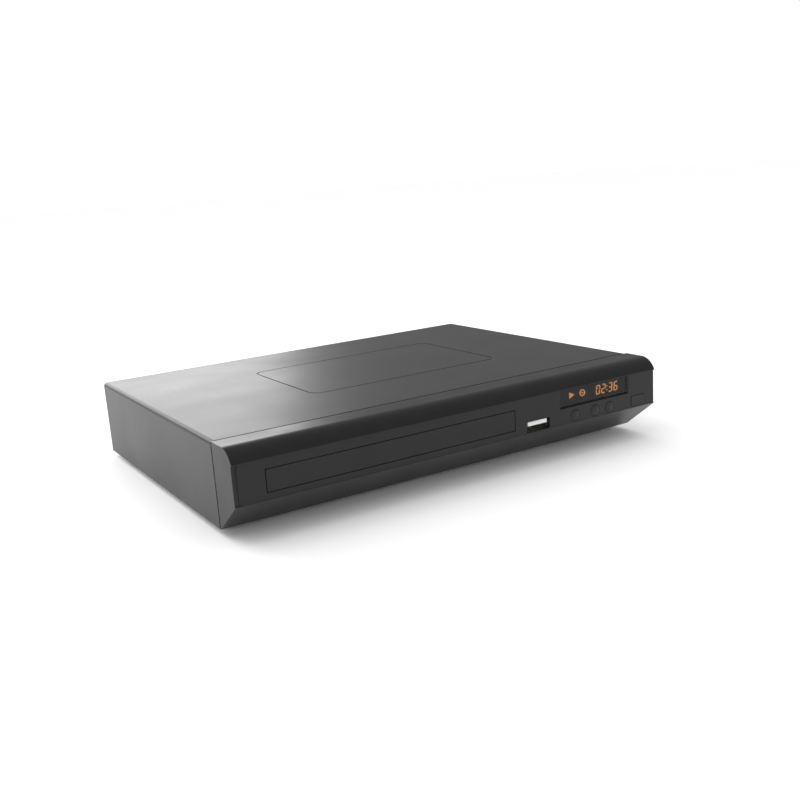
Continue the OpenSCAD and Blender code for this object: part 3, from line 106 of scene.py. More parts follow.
class Graph:
    """Builds the node tree of one material."""

    def __init__(self, name: str) -> None:
        """Starts an empty material.

        Args:
            name: Name of the material.
        """
        self.material = bpy.data.materials.new(name)
        self.material.use_nodes = True
        self.tree = self.material.node_tree
        self.tree.nodes.clear()
        self.output = self.add("ShaderNodeOutputMaterial")
        self.coords = self.add("ShaderNodeTexCoord").outputs["Object"]

    def add(self, kind: str, **values: Any) -> bpy.types.Node:
        """Adds a node and sets its inputs.

        Args:
            kind: Blender's type name of the node.
            **values: Input values or sockets to join, by name with spaces as underscores.

        Returns:
            The new node.
        """
        node = self.tree.nodes.new(kind)
        for key, value in values.items():
            self.put(node, key.replace("_", " "), value)
        return node

    def put(self, node: bpy.types.Node, key: str | int, value: Any) -> None:
        """Sets or joins one input.

        Args:
            node: The node.
            key: Name or index of the input.
            value: A plain value, or a socket to join.
        """
        if isinstance(value, bpy.types.NodeSocket):
            self.tree.links.new(value, node.inputs[key])
        elif isinstance(value, tuple) and len(value) == 3 and node.inputs[key].type == "RGBA":
            node.inputs[key].default_value = (*value, 1.0)
        else:
            node.inputs[key].default_value = value

    def stretched(self, scale: Point) -> bpy.types.NodeSocket:
        """Returns object coordinates scaled by a different amount along each axis."""
        return self.add("ShaderNodeMapping", Vector=self.coords, Scale=scale).outputs["Vector"]

    def noise(self, pattern: Pattern) -> bpy.types.NodeSocket:
        """Adds a noise field.

        Args:
            pattern: Size and grading of the field.

        Returns:
            The noise value socket.
        """
        vector = self.stretched(pattern.stretch) if pattern.stretch else self.coords
        node = self.add("ShaderNodeTexNoise", Vector=vector, Scale=pattern.scale, Detail=pattern.detail,
                        Roughness=pattern.rough)
        return node.outputs["Fac"]

    def ranged(self, value: bpy.types.NodeSocket, low: float, high: float,
               band: Pair = (0.3, 0.7)) -> bpy.types.NodeSocket:
        """Maps a band of a field to low..high.

        Args:
            value: The field.
            low: Result at the band's start.
            high: Result at the band's end.
            band: The field's used part.

        Returns:
            The mapped socket.
        """
        node = self.add("ShaderNodeMapRange")
        names = ("Value", "From Min", "From Max", "To Min", "To Max")
        for key, item in zip(names, (value, *band, low, high)):
            self.put(node, key, item)
        return node.outputs["Result"]

    def mixed(self, amount: Any, first: Any, second: Any) -> bpy.types.NodeSocket:
        """Mixes two colours.

        Args:
            amount: Share of the second colour, as a value or socket.
            first: First colour or socket.
            second: Second colour or socket.

        Returns:
            The mixed colour socket.
        """
        node = self.tree.nodes.new("ShaderNodeMix")
        node.data_type = "RGBA"
        for key, item in ((0, amount), (6, first), (7, second)):
            self.put(node, key, item)
        return node.outputs[2]

    def calc(self, operation: str, first: Any, second: Any) -> bpy.types.NodeSocket:
        """Joins two numbers with a maths operation.

        Args:
            operation: Name of the operation.
            first: First number or socket.
            second: Second number or socket.

        Returns:
            The result's socket.
        """
        node = self.tree.nodes.new("ShaderNodeMath")
        node.operation = operation
        self.put(node, 0, first)
        self.put(node, 1, second)
        return node.outputs[0]

    def bump(self, height: bpy.types.NodeSocket, depth_mm: float, strength: float,
             under: bpy.types.NodeSocket | None = None) -> bpy.types.NodeSocket:
        """Turns a height field into a normal.

        Args:
            height: The field.
            depth_mm: Depth that a value of one stands for.
            strength: Weight of the effect.
            under: A normal that this one is laid over.

        Returns:
            The normal socket.
        """
        node = self.add("ShaderNodeBump", Height=height, Distance=depth_mm * MM, Strength=strength)
        if under is not None:
            self.put(node, "Normal", under)
        return node.outputs["Normal"]

    def principled(self, **values: Any) -> None:
        """Adds the surface shader, joined to the output.

        Args:
            **values: Inputs of the shader, by name with spaces as underscores.
        """
        shader = self.add("ShaderNodeBsdfPrincipled", **values)
        self.tree.links.new(shader.outputs["BSDF"], self.output.inputs["Surface"])


# ------------------------------------------------------------------- finishes


def shade(colour: Colour, factor: float) -> Colour:
    """Returns a colour made lighter or darker by a factor."""
    return (colour[0] * factor, colour[1] * factor, colour[2] * factor)


def cells(width_mm: float) -> float:
    """Returns the cells per metre of a field whose cells have a width in mm."""
    return 1.0 / (width_mm * MM)


def directed(axis: Axis, along: float, across: float) -> Point:
    """Makes a stretch that differs along one axis.

    Args:
        axis: The axis.
        along: Amount along it.
        across: Amount along the other two.

    Returns:
        The amounts along X, Y and Z.
    """
    amounts = [across, across, across]
    amounts[axis.value] = along
    return (amounts[0], amounts[1], amounts[2])


@dataclass(frozen=True)
class Surface:
    """A finish that can be built as a material."""

    def draw(self, g: Graph) -> None:
        """Draws the finish into a graph; each kind of finish does this its own way."""

    def build(self, name: str) -> bpy.types.Material:
        """Builds the material.

        Args:
            name: Name of the material.

        Returns:
            The material.
        """
        graph = Graph(name)
        self.draw(graph)
        return graph.material


@dataclass(frozen=True)
class Plastic(Surface):
    """Moulded plastic or rubber with a fine texture, faint mottling and handled patches."""

    colour: Colour
    roughness: float = 0.42
    grain_mm: float = 0.35
    grain_depth_mm: float = 0.012
    mottle: float = 0.12
    handled: float = 0.08
    gloss: float = 0.3
    subsurface: float = 0.0
    grain_weight: float = 0.8
    patches: Pattern = Pattern(55.0, 5.0)
    smudges: Pattern = Pattern(38.0, 6.0, 0.62, (1.0, 1.7, 1.0))

    def draw(self, g: Graph) -> None:
        """Draws mottled colour, a fine moulded grain and patches dulled by handling.

        Args:
            g: The material's graph.
        """
        colour = g.mixed(g.ranged(g.noise(self.patches), 0.0, 1.0), shade(self.colour, 1.0 - self.mottle),
                         shade(self.colour, 1.0 + self.mottle))
        grain = g.noise(Pattern(cells(self.grain_mm), detail=2.0))
        rough = g.ranged(g.noise(self.smudges), self.roughness - self.handled, self.roughness + self.handled)
        normal = g.bump(grain, self.grain_depth_mm, self.grain_weight)
        g.principled(Base_Color=colour, Roughness=rough, Normal=normal, Specular_IOR_Level=self.gloss,
                     Subsurface_Weight=self.subsurface)


@dataclass(frozen=True)
class PaintedSheet(Surface):
    """Satin paint on sheet steel: fine orange peel, specks, dust and soft smudges."""

    colour: Colour
    roughness: float = 0.4
    gloss: float = 0.42
    peel_mm: float = 0.9
    peel_depth_mm: float = 0.02
    peel_weight: float = 0.5
    speck_mm: float = 0.25
    speck_depth_mm: float = 0.008
    speck_weight: float = 0.6
    speck_share: float = 0.6
    speck_band: Pair = (0.45, 0.75)
    speck_gain: float = 1.7
    dust: float = 0.2
    dust_colour: Colour = (0.32, 0.31, 0.29)
    dust_grains: Pattern = Pattern(1600.0, 1.0)
    dust_band: Pair = (0.66, 0.76)
    dust_drifts: Pattern = Pattern(14.0, 4.0)
    dust_least: float = 0.2
    smudges: Pattern = Pattern(22.0, 7.0, 0.6, (1.0, 1.4, 1.0))
    smudge_smoother: float = 0.02
    smudge_duller: float = 0.025

    def draw(self, g: Graph) -> None:
        """Draws the paint, its orange peel and specks, and the dust and smudges on it.

        Args:
            g: The material's graph.
        """
        speck = g.noise(Pattern(cells(self.speck_mm), detail=1.0))
        base = g.mixed(g.ranged(speck, 0.0, self.speck_share, self.speck_band), self.colour,
                       shade(self.colour, self.speck_gain))
        dust = g.calc("MULTIPLY", g.ranged(g.noise(self.dust_grains), 0.0, self.dust, self.dust_band),
                      g.ranged(g.noise(self.dust_drifts), self.dust_least, 1.0))
        colour = g.mixed(dust, base, self.dust_colour)
        smudge = g.ranged(g.noise(self.smudges), self.roughness - self.smudge_smoother,
                          self.roughness + self.smudge_duller)
        peel = g.bump(g.noise(Pattern(cells(self.peel_mm), detail=2.0)), self.peel_depth_mm, self.peel_weight)
        normal = g.bump(speck, self.speck_depth_mm, self.speck_weight, peel)
        g.principled(Base_Color=colour, Roughness=g.calc("ADD", smudge, dust), Normal=normal,
                     Specular_IOR_Level=self.gloss)


@dataclass(frozen=True)
class BareMetal(Surface):
    """Plated or drawn metal with a directional grain, tarnish and fine scratches."""

    colour: Colour
    roughness: float = 0.3
    grain: Axis = Axis.X
    tarnish: Colour = (0.35, 0.33, 0.3)
    spangle: float = 0.0
    spangle_cells: float = 260.0
    spangle_band: Pair = (0.2, 0.8)
    spangle_shade: float = 0.72
    grain_along: float = 60.0
    grain_across: float = 2400.0
    tarnish_patches: Pattern = Pattern(70.0, 6.0)
    tarnish_share: float = 0.3
    tarnish_band: Pair = (0.5, 0.8)
    polished: float = 0.07
    scuffed: float = 0.12
    scratch_depth_mm: float = 0.006
    scratch_weight: float = 0.5
    stretch_of_shine: float = 0.35

    def draw(self, g: Graph) -> None:
        """Draws the metal, its grain, tarnish and, on plated sheet, its spangle.

        Args:
            g: The material's graph.
        """
        lines = g.noise(Pattern(1.0, 4.0, 0.6, directed(self.grain, self.grain_along, self.grain_across)))
        tint = g.mixed(g.ranged(g.noise(self.tarnish_patches), 0.0, self.tarnish_share, self.tarnish_band),
                       self.colour, self.tarnish)
        if self.spangle > 0.0:
            crystals = g.add("ShaderNodeTexVoronoi", Vector=g.coords, Scale=self.spangle_cells)
            tone = g.add("ShaderNodeRGBToBW", Color=crystals.outputs["Color"]).outputs["Val"]
            tint = g.mixed(g.ranged(tone, 0.0, self.spangle, self.spangle_band), tint,
                           shade(self.colour, self.spangle_shade))
        rough = g.ranged(lines, self.roughness - self.polished, self.roughness + self.scuffed)
        normal = g.bump(lines, self.scratch_depth_mm, self.scratch_weight)
        g.principled(Base_Color=tint, Metallic=1.0, Roughness=rough, Normal=normal,
                     Anisotropic=self.stretch_of_shine)


@dataclass(frozen=True)
class Laminate(Surface):
    """Lacquered circuit board with copper tracks, plated holes and a woven base."""

    colour: Colour
    track: Colour
    pads_per_m: float = 420.0
    hole: Colour = (0.62, 0.6, 0.55)
    hole_band: Pair = (0.2, 0.24)
    tracks_per_pad: float = 0.3
    track_rings: float = 9.0
    track_band: Pair = (0.4, 0.44)
    track_depth_mm: float = 0.035
    track_weight: float = 0.6
    weave: Pattern = Pattern(1.0, 2.0, 0.5, (2600.0, 900.0, 900.0))
    weave_share: float = 0.35
    weave_shade: float = 0.7
    roughness: Pair = (0.28, 0.4)
    lacquer: float = 0.25
    lacquer_roughness: float = 0.15

    def draw(self, g: Graph) -> None:
        """Draws the lacquered base, its tracks and its plated holes.

        Args:
            g: The material's graph.
        """
        flat = g.stretched((1.0, 1.0, 0.0))
        fields = g.add("ShaderNodeTexVoronoi", Vector=flat, Scale=self.pads_per_m * self.tracks_per_pad)
        fields.distance = "CHEBYCHEV"
        rings = g.calc("FRACT", g.calc("MULTIPLY", fields.outputs["Distance"], self.track_rings), 1.0)
        track = g.ranged(rings, 0.0, 1.0, self.track_band)
        weave = g.noise(self.weave)
        base = g.mixed(g.ranged(weave, 0.0, self.weave_share), self.colour,
                       shade(self.colour, self.weave_shade))
        pads = g.add("ShaderNodeTexVoronoi", Vector=flat, Scale=self.pads_per_m)
        pad = g.ranged(pads.outputs["Distance"], 1.0, 0.0, self.hole_band)
        colour = g.mixed(pad, g.mixed(track, base, self.track), self.hole)
        g.principled(Base_Color=colour, Roughness=g.ranged(weave, *self.roughness), Metallic=pad,
                     Normal=g.bump(track, self.track_depth_mm, self.track_weight),
                     Coat_Weight=self.lacquer, Coat_Roughness=self.lacquer_roughness)


@dataclass(frozen=True)
class Clear(Surface):
    """Smoked or clear window: a glossy skin over a tinted view of what lies behind."""

    tint: Colour
    see_through: float
    roughness: float = 0.08
    gloss: float = 0.5
    skin_shade: float = 0.025
    smears: Pattern = Pattern(60.0, 6.0, 0.6)
    smear_duller: float = 0.08
    smear_share: float = 0.2
    smear_shade: float = 0.85
    ripples: Pattern = Pattern(900.0, 2.0)
    ripple_depth_mm: float = 0.001
    ripple_weight: float = 0.4

    def draw(self, g: Graph) -> None:
        """Draws the skin and lets part of what lies behind show.

        Args:
            g: The material's graph.
        """
        smear = g.noise(self.smears)
        skin = g.add("ShaderNodeBsdfPrincipled", Base_Color=shade(self.tint, self.skin_shade),
                     Roughness=g.ranged(smear, self.roughness, self.roughness + self.smear_duller),
                     Normal=g.bump(g.noise(self.ripples), self.ripple_depth_mm, self.ripple_weight),
                     Specular_IOR_Level=self.gloss)
        tint = g.mixed(g.ranged(smear, 0.0, self.smear_share), self.tint, shade(self.tint, self.smear_shade))
        through = g.add("ShaderNodeBsdfTransparent", Color=tint)
        mix = g.add("ShaderNodeMixShader")
        for i, item in enumerate((self.see_through, skin.outputs["BSDF"], through.outputs["BSDF"])):
            g.put(mix, i, item)
        g.tree.links.new(mix.outputs["Shader"], g.output.inputs["Surface"])


@dataclass(frozen=True)
class Lit(Surface):
    """Lit display segment with a slightly uneven glow."""

    colour: Colour
    strength: float
    roughness: float = 0.4
    unevenness: Pattern = Pattern(900.0, 2.0)
    dimmest: float = 0.82

    def draw(self, g: Graph) -> None:
        """Draws the glow.

        Args:
            g: The material's graph.
        """
        glow = g.mixed(g.ranged(g.noise(self.unevenness), 0.0, 1.0), self.colour,
                       shade(self.colour, self.dimmest))
        g.principled(Base_Color=glow, Roughness=self.roughness, Emission_Color=glow,
                     Emission_Strength=self.strength)


@dataclass(frozen=True)
class Wound(Surface):
    """Turns of tape or enamelled wire, or the wires of a ribbon, side by side along an axis."""

    colour: Colour
    second: Colour
    turns_per_m: float
    axis: Axis = Axis.Z
    metallic: float = 0.0
    along_turn: float = 40.0
    roughness: Pair = (0.25, 0.45)
    turn_depth_mm: float = 0.05
    turn_weight: float = 0.7

    def draw(self, g: Graph) -> None:
        """Draws the turns side by side.

        Args:
            g: The material's graph.
        """
        turns = g.noise(Pattern(1.0, 2.0, 0.5, directed(self.axis, self.turns_per_m, self.along_turn)))
        colour = g.mixed(g.ranged(turns, 0.0, 1.0), self.colour, self.second)
        g.principled(Base_Color=colour, Metallic=self.metallic, Roughness=g.ranged(turns, *self.roughness),
                     Normal=g.bump(turns, self.turn_depth_mm, self.turn_weight))


class Finish(Enum):
    """Finishes of the player's pieces; each gives its material its own name in small letters."""

    PAINTED_COVER = PaintedSheet((0.018, 0.018, 0.0193), roughness=0.38)
    BEZEL_PLASTIC = Plastic((0.0098, 0.0098, 0.0104), roughness=0.33, grain_mm=0.3, grain_depth_mm=0.005,
                            mottle=0.1, handled=0.04)
    BUTTON_PLASTIC = Plastic((0.011, 0.011, 0.0118), roughness=0.27, grain_mm=0.3, grain_depth_mm=0.004)
    TRAY_PLASTIC = Plastic((0.018, 0.018, 0.019), roughness=0.45, grain_mm=0.5, grain_depth_mm=0.012)
    DARK_PLASTIC = Plastic((0.02, 0.02, 0.021), roughness=0.5, grain_mm=0.4, grain_depth_mm=0.012)
    FOOT_RUBBER = Plastic((0.016, 0.016, 0.016), roughness=0.78, grain_mm=0.3, grain_depth_mm=0.02,
                          mottle=0.2, handled=0.08, gloss=0.3)
    WHITE_PLASTIC = Plastic((0.72, 0.71, 0.67), roughness=0.38, grain_mm=0.6, grain_depth_mm=0.006,
                            mottle=0.04, handled=0.06, gloss=0.5, subsurface=0.08)
    ZINC_STEEL = BareMetal((0.58, 0.59, 0.6), roughness=0.36, grain=Axis.X, tarnish=(0.36, 0.37, 0.38),
                           spangle=0.4)
    SOCKET_METAL = BareMetal((0.66, 0.65, 0.63), roughness=0.24, grain=Axis.Y)
    BRASS = BareMetal((0.72, 0.52, 0.22), roughness=0.26, grain=Axis.Z, tarnish=(0.4, 0.26, 0.12))
    SCREW_BLACK = BareMetal((0.09, 0.09, 0.095), roughness=0.36, grain=Axis.X, tarnish=(0.2, 0.19, 0.18))
    CIRCUIT_BOARD = Laminate((0.012, 0.085, 0.03), track=(0.03, 0.16, 0.055))
    POWER_BOARD = Laminate((0.3, 0.19, 0.075), track=(0.38, 0.26, 0.1), pads_per_m=300.0)
    SMOKED_WINDOW = Clear((0.42, 0.4, 0.4), see_through=0.48, roughness=0.2)
    LENS_GLASS = Clear((0.55, 0.62, 0.95), see_through=0.3, roughness=0.03)
    FUSE_GLASS = BareMetal((0.72, 0.73, 0.74), roughness=0.16, grain=Axis.Y)
    DISPLAY_LIGHT = Lit((1.0, 0.46, 0.13), strength=12.5)
    TRANSFORMER_TAPE = Wound((0.72, 0.5, 0.06), second=(0.6, 0.4, 0.04), turns_per_m=900.0)
    CAPACITOR_SLEEVE = Plastic((0.02, 0.035, 0.12), roughness=0.22, grain_mm=1.2, grain_depth_mm=0.01,
                               mottle=0.2)
    WIRE_SLEEVE = Plastic((0.16, 0.06, 0.03), roughness=0.38, grain_mm=0.8, grain_depth_mm=0.01)
    RIBBON_WHITE = Wound((0.75, 0.74, 0.7), second=(0.5, 0.49, 0.46), turns_per_m=1400.0, axis=Axis.X)
    COPPER = Wound((0.75, 0.3, 0.12), second=(0.5, 0.17, 0.06), turns_per_m=6000.0, axis=Axis.Z, metallic=1.0)
    FERRITE = Plastic((0.03, 0.029, 0.028), roughness=0.6, grain_mm=0.5, grain_depth_mm=0.03)
    GOLD = BareMetal((0.85, 0.62, 0.25), roughness=0.25, grain=Axis.Y, tarnish=(0.6, 0.42, 0.18))
    TIN = BareMetal((0.6, 0.6, 0.62), roughness=0.3, grain=Axis.X)
    RED_PLASTIC = Plastic((0.45, 0.02, 0.02), roughness=0.35, grain_mm=0.5, grain_depth_mm=0.006)
    YELLOW_PLASTIC = Plastic((0.75, 0.45, 0.02), roughness=0.35, grain_mm=0.5, grain_depth_mm=0.006)
    GREY_PLASTIC = Plastic((0.3, 0.3, 0.31), roughness=0.4, grain_mm=0.5, grain_depth_mm=0.006)
    DISPLAY_GLASS = Plastic((0.012, 0.012, 0.012), roughness=0.5, grain_mm=0.4, grain_depth_mm=0.001,
                            mottle=0.1, handled=0.05)
    # painted shade: near-black colour for the crosses laid on the screw heads where a recess's shade would
    # fall
    RECESS_DARK = Plastic((0.006, 0.006, 0.006), roughness=0.7, grain_mm=0.3, grain_depth_mm=0.01)
    TAN_CHIP = Plastic((0.42, 0.31, 0.18), roughness=0.5, grain_mm=0.2, grain_depth_mm=0.006)


class Palette:
    """Builds each finish once and hands it out."""

    def __init__(self) -> None:
        """Starts with no material built."""
        self.built: dict[Finish, bpy.types.Material] = {}

    def get(self, finish: Finish) -> bpy.types.Material:
        """Gives a finish's material, built on first use.

        Args:
            finish: The finish.

        Returns:
            Its material.
        """
        if finish not in self.built:
            self.built[finish] = finish.value.build(finish.name.lower())
        return self.built[finish]


# --------------------------------------------------------------------- meshes


class Solid:
    """Collects simple closed shapes, in millimetres, into one mesh object."""

    def __init__(self, name: str) -> None:
        """Starts an empty mesh.

        Args:
            name: Name of the piece.
        """
        self.name = name
        self.mesh = bmesh.new()

    def box(self, low: Point, high: Point) -> None:
        """Adds a box between two corners.

        Args:
            low: Lower corner in mm.
            high: Upper corner in mm.
        """
        size = Vector(high) - Vector(low)
        middle = (Vector(high) + Vector(low)) / 2
        place = Matrix.Translation(middle) @ Matrix.Diagonal((*size, 1.0))
        bmesh.ops.create_cube(self.mesh, size=1.0, matrix=place)

    def disc(self, centre: Point, radius: float, length: float, axis: Axis = Axis.Z,
             inner: float = 0.0) -> None:
        """Adds a cylinder or a ring that starts at a point and runs along an axis.

        Args:
            centre: Centre of the starting face in mm.
            radius: Outer radius in mm.
            length: Length along the axis in mm.
            axis: The axis.
            inner: Radius of the hole, or 0 for a full disc.
        """
        turn = {Axis.X: Matrix(((0, 0, 1), (1, 0, 0), (0, 1, 0))),
                Axis.Y: Matrix(((0, 1, 0), (0, 0, 1), (1, 0, 0))),
                Axis.Z: Matrix.Identity(3)}[axis]
        angles = [2 * math.pi * i / DISC_SIDES for i in range(DISC_SIDES)]
        hole = ((inner, length), (inner, 0.0)) if inner > 0 else ()
        rings = []
        for r, h in ((radius, 0.0), (radius, length), *hole):
            points = [turn @ Vector((r * math.cos(a), r * math.sin(a), h)) for a in angles]
            rings.append([self.mesh.verts.new(Vector(centre) + point) for point in points])
        count = len(rings)
        for k in range(count if inner > 0 else count - 1):
            one, two = rings[k], rings[(k + 1) % count]
            for i in range(DISC_SIDES):
                j = (i + 1) % DISC_SIDES
                self.mesh.faces.new((one[i], one[j], two[j], two[i]))
        if inner <= 0:
            self.mesh.faces.new(rings[0][::-1])
            self.mesh.faces.new(rings[1])

    def make(self, material: bpy.types.Material, body: Body, bevel_mm: float) -> None:
        """Turns the shapes into an object that rides on a body.

        Args:
            material: Its material.
            body: The body that carries it.
            bevel_mm: Width of a bevel on its edges, or 0.
        """
        bmesh.ops.recalc_face_normals(self.mesh, faces=self.mesh.faces)
        bmesh.ops.scale(self.mesh, vec=(MM, MM, MM), verts=self.mesh.verts)
        data = bpy.data.meshes.new(self.name)
        self.mesh.to_mesh(data)
        self.mesh.free()
        data.materials.append(material)
        made = bpy.data.objects.new(self.name, data)
        bpy.context.scene.collection.objects.link(made)
        soften(made, bevel_mm)
        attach(made, body.value)


def soften(piece: bpy.types.Object, bevel_mm: float) -> None:
    """Shades a piece smooth by angle and rounds its hard edges.

    Args:
        piece: The mesh object.
        bevel_mm: Bevel width in mm, or 0 for none.
    """
    for face in piece.data.polygons:
        face.use_smooth = True
    if bevel_mm > 0.0:
        bevel = piece.modifiers.new("edges", "BEVEL")
        bevel.width = bevel_mm * MM
        bevel.segments = 2
        bevel.limit_method = "ANGLE"
        bevel.angle_limit = SMOOTH_ANGLE
        bevel.harden_normals = True
    piece.data.set_sharp_from_angle(angle=SMOOTH_ANGLE)


# --------------------------------------------------------------- sub-assemblies


@dataclass(frozen=True)
class Span:
    """Box round one solid of the frame, in millimetres."""

    low: Point
    high: Point

    @property
    def middle(self) -> Point:
        """Returns the centre of the box."""
        return tuple((one + two) / 2 for one, two in zip(self.low, self.high))

    def length(self, axis: Axis) -> float:
        """Returns the length of the box along one axis."""
        return self.high[axis.value] - self.low[axis.value]


def spans(node: bpy.types.Object) -> list[Span]:
    """Finds the box of each separate solid of a node.

    Args:
        node: A mesh object of the frame.

    Returns:
        One box for each solid, in the order of their first corners.
    """
    corners_mm = [tuple(round(c / MM, 3) for c in node.matrix_world @ v.co) for v in node.data.vertices]
    joined = {corner: corner for corner in corners_mm}

    def root(corner: Point) -> Point:
        """Finds the corner that stands for a corner's solid.

        Args:
            corner: Any corner of the solid.

        Returns:
            The standing corner.
        """
        while joined[corner] != corner:
            joined[corner] = joined[joined[corner]]
            corner = joined[corner]
        return corner

    for edge in node.data.edges:
        first, second = edge.vertices
        joined[root(corners_mm[first])] = root(corners_mm[second])
    groups: dict[Point, list[Point]] = {}
    for corner in joined:
        groups.setdefault(root(corner), []).append(corner)
    return [Span(tuple(map(min, zip(*group))), tuple(map(max, zip(*group)))) for group in groups.values()]


Look = tuple[Finish, float]


@dataclass
class Assembly:
    """A group of frame nodes with their looks: a finish and a bevel width in mm."""

    frame: dict[str, Any]
    palette: Palette

    def nodes(self) -> dict[str, Look]:
        """Returns the look of each node."""
        return {}

    def details(self) -> None:
        """Adds the pieces that the frame doesn't hold."""

    def build(self) -> None:
        """Dresses the nodes, reports each one and adds the details."""
        for name, (finish, bevel_mm) in self.nodes().items():
            node = self.frame["nodes"][name]
            node.data.materials.clear()
            node.data.materials.append(self.palette.get(finish))
            soften(node, bevel_mm)
            LOG.info("%s: %s in %s", type(self).__name__, name, finish.name.lower())
        self.details()

    def solids(self, name: str) -> list[Span]:
        """Returns the boxes of a node's solids."""
        return spans(self.frame["nodes"][name])

    def add(self, solid: Solid, finish: Finish, slot: str, body: Body = Body.PLAYER,
            bevel_mm: float = 0.0) -> None:
        """Adds one detail piece and reports it.

        Args:
            solid: Its shapes.
            finish: Its finish.
            slot: The record's material slot; not used.
            body: The body that carries it.
            bevel_mm: Width of the bevel on its edges.
        """
        solid.make(self.palette.get(finish), body, bevel_mm)
        LOG.info("%s: detail %s in %s", type(self).__name__, solid.name, finish.name.lower())


@dataclass
class Case(Assembly):
    """Cover, base pan, rear sheet, feet and screws."""

    cross_reach: float = 1.67
    cross_half: float = 0.35
    cross_rise: float = 0.015
    cross_step: float = 0.0005
    cross_sink: float = 0.05
    rear_screw_length: float = 7.0
    low_head_z: float = 2.0

    def nodes(self) -> dict[str, Look]:
        """Returns the look of each node."""
        return {"top_cover": (Finish.PAINTED_COVER, 0.12), "base_chassis": (Finish.ZINC_STEEL, 0.1),
                "rear_panel": (Finish.PAINTED_COVER, 0.08), "feet": (Finish.FOOT_RUBBER, 0.25),
                "case_screws": (Finish.SCREW_BLACK, 0.2)}

    def details(self) -> None:
        """Adds the cross recesses of the screws at the back and underneath as painted shade: near-black
        crosses on the heads.
        """
        # painted shade: near-black crosses standing slightly proud of the screw heads, in place of cut
        # recesses
        cross = Solid("cross_recesses")
        reach, half = self.cross_reach, self.cross_half
        for screw in self.solids("case_screws"):
            x, y, z = screw.middle
            for wide, tall, extra in ((reach, half, 0.0), (half, reach, self.cross_step)):
                if screw.length(Axis.Y) > self.rear_screw_length:
                    y = screw.high[1]
                    cross.box((x - wide, y - self.cross_sink, z - tall),
                              (x + wide, y + self.cross_rise + extra, z + tall))
                elif screw.low[2] < self.low_head_z:
                    z = screw.low[2]
                    cross.box((x - wide, y - tall, z - self.cross_rise - extra),
                              (x + wide, y + tall, z + self.cross_sink))
        self.add(cross, Finish.RECESS_DARK, "screw_black")


@dataclass
class FrontPanel(Assembly):
    """Bezel, buttons, display and USB socket."""

    contact_count: int = 4
    contact_pitch: float = 2.3
    contact_half: float = 0.5
    contact_front: float = 2.9
    contact_rear: float = 1.2
    contact_drop: float = 0.07

    def nodes(self) -> dict[str, Look]:
        """Returns the look of each node."""
        return {"front_bezel": (Finish.BEZEL_PLASTIC, 0.22), "display_window": (Finish.SMOKED_WINDOW, 0.1),
                "display_module": (Finish.DISPLAY_GLASS, 0.1),
                "display_segments": (Finish.DISPLAY_LIGHT, 0.0),
                "front_board": (Finish.CIRCUIT_BOARD, 0.05), "ir_receiver": (Finish.DARK_PLASTIC, 0.15),
                "tact_switches": (Finish.DARK_PLASTIC, 0.1),
                "open_close_button": (Finish.BUTTON_PLASTIC, 0.15),
                "play_button": (Finish.BUTTON_PLASTIC, 0.15), "stop_button": (Finish.BUTTON_PLASTIC, 0.15),
                "power_button": (Finish.BUTTON_PLASTIC, 0.2),
                "open_close_plunger": (Finish.WHITE_PLASTIC, 0.1),
                "play_plunger": (Finish.WHITE_PLASTIC, 0.1), "stop_plunger": (Finish.WHITE_PLASTIC, 0.1),
                "power_plunger": (Finish.WHITE_PLASTIC, 0.1),
                "usb_shell": (Finish.SOCKET_METAL, 0.05), "usb_tongue": (Finish.WHITE_PLASTIC, 0.15)}

    def details(self) -> None:
        """Adds the contacts of the USB socket under its tongue."""
        tongue = self.solids("usb_tongue")[0]
        z = tongue.low[2]
        contacts = Solid("usb_contacts")
        for i in range(self.contact_count):
            x = tongue.middle[0] + (i - (self.contact_count - 1) / 2) * self.contact_pitch
            contacts.box((x - self.contact_half, tongue.low[1] + self.contact_front, z - self.contact_drop),
                         (x + self.contact_half, tongue.high[1] - self.contact_rear, z + OVERLAP))
        self.add(contacts, Finish.GOLD, "socket_metal")


@dataclass
class TrayLoader(Assembly):
    """Tray, loader frame, clamp and the drive of the tray."""

    cap_r: float = 7.0
    cap_h: float = 0.7
    cap_sink: float = 0.05

    def nodes(self) -> dict[str, Look]:
        """Returns the look of each node."""
        return {"tray": (Finish.TRAY_PLASTIC, 0.15), "tray_door": (Finish.BEZEL_PLASTIC, 0.2),
                "loader_frame": (Finish.DARK_PLASTIC, 0.15), "clamp_bridge": (Finish.ZINC_STEEL, 0.1),
                "clamp_puck": (Finish.WHITE_PLASTIC, 0.15), "clamp_magnet": (Finish.SOCKET_METAL, 0.1),
                "loading_motor": (Finish.SOCKET_METAL, 0.3), "motor_pulley": (Finish.BRASS, 0.05),
                "drive_belt": (Finish.FOOT_RUBBER, 0.1), "pulley_gear": (Finish.WHITE_PLASTIC, 0.05),
                "tray_drive_gear": (Finish.WHITE_PLASTIC, 0.05), "cam_slider": (Finish.WHITE_PLASTIC, 0.1)}

    def details(self) -> None:
        """Adds the end cap of the loading motor."""
        motor = self.solids("loading_motor")[0]
        x, y, _ = motor.middle
        cap = Solid("motor_cap")
        cap.disc((x, y, motor.low[2] - self.cap_h + self.cap_sink), self.cap_r, self.cap_h)
        self.add(cap, Finish.WHITE_PLASTIC, "white_plastic", bevel_mm=0.1)


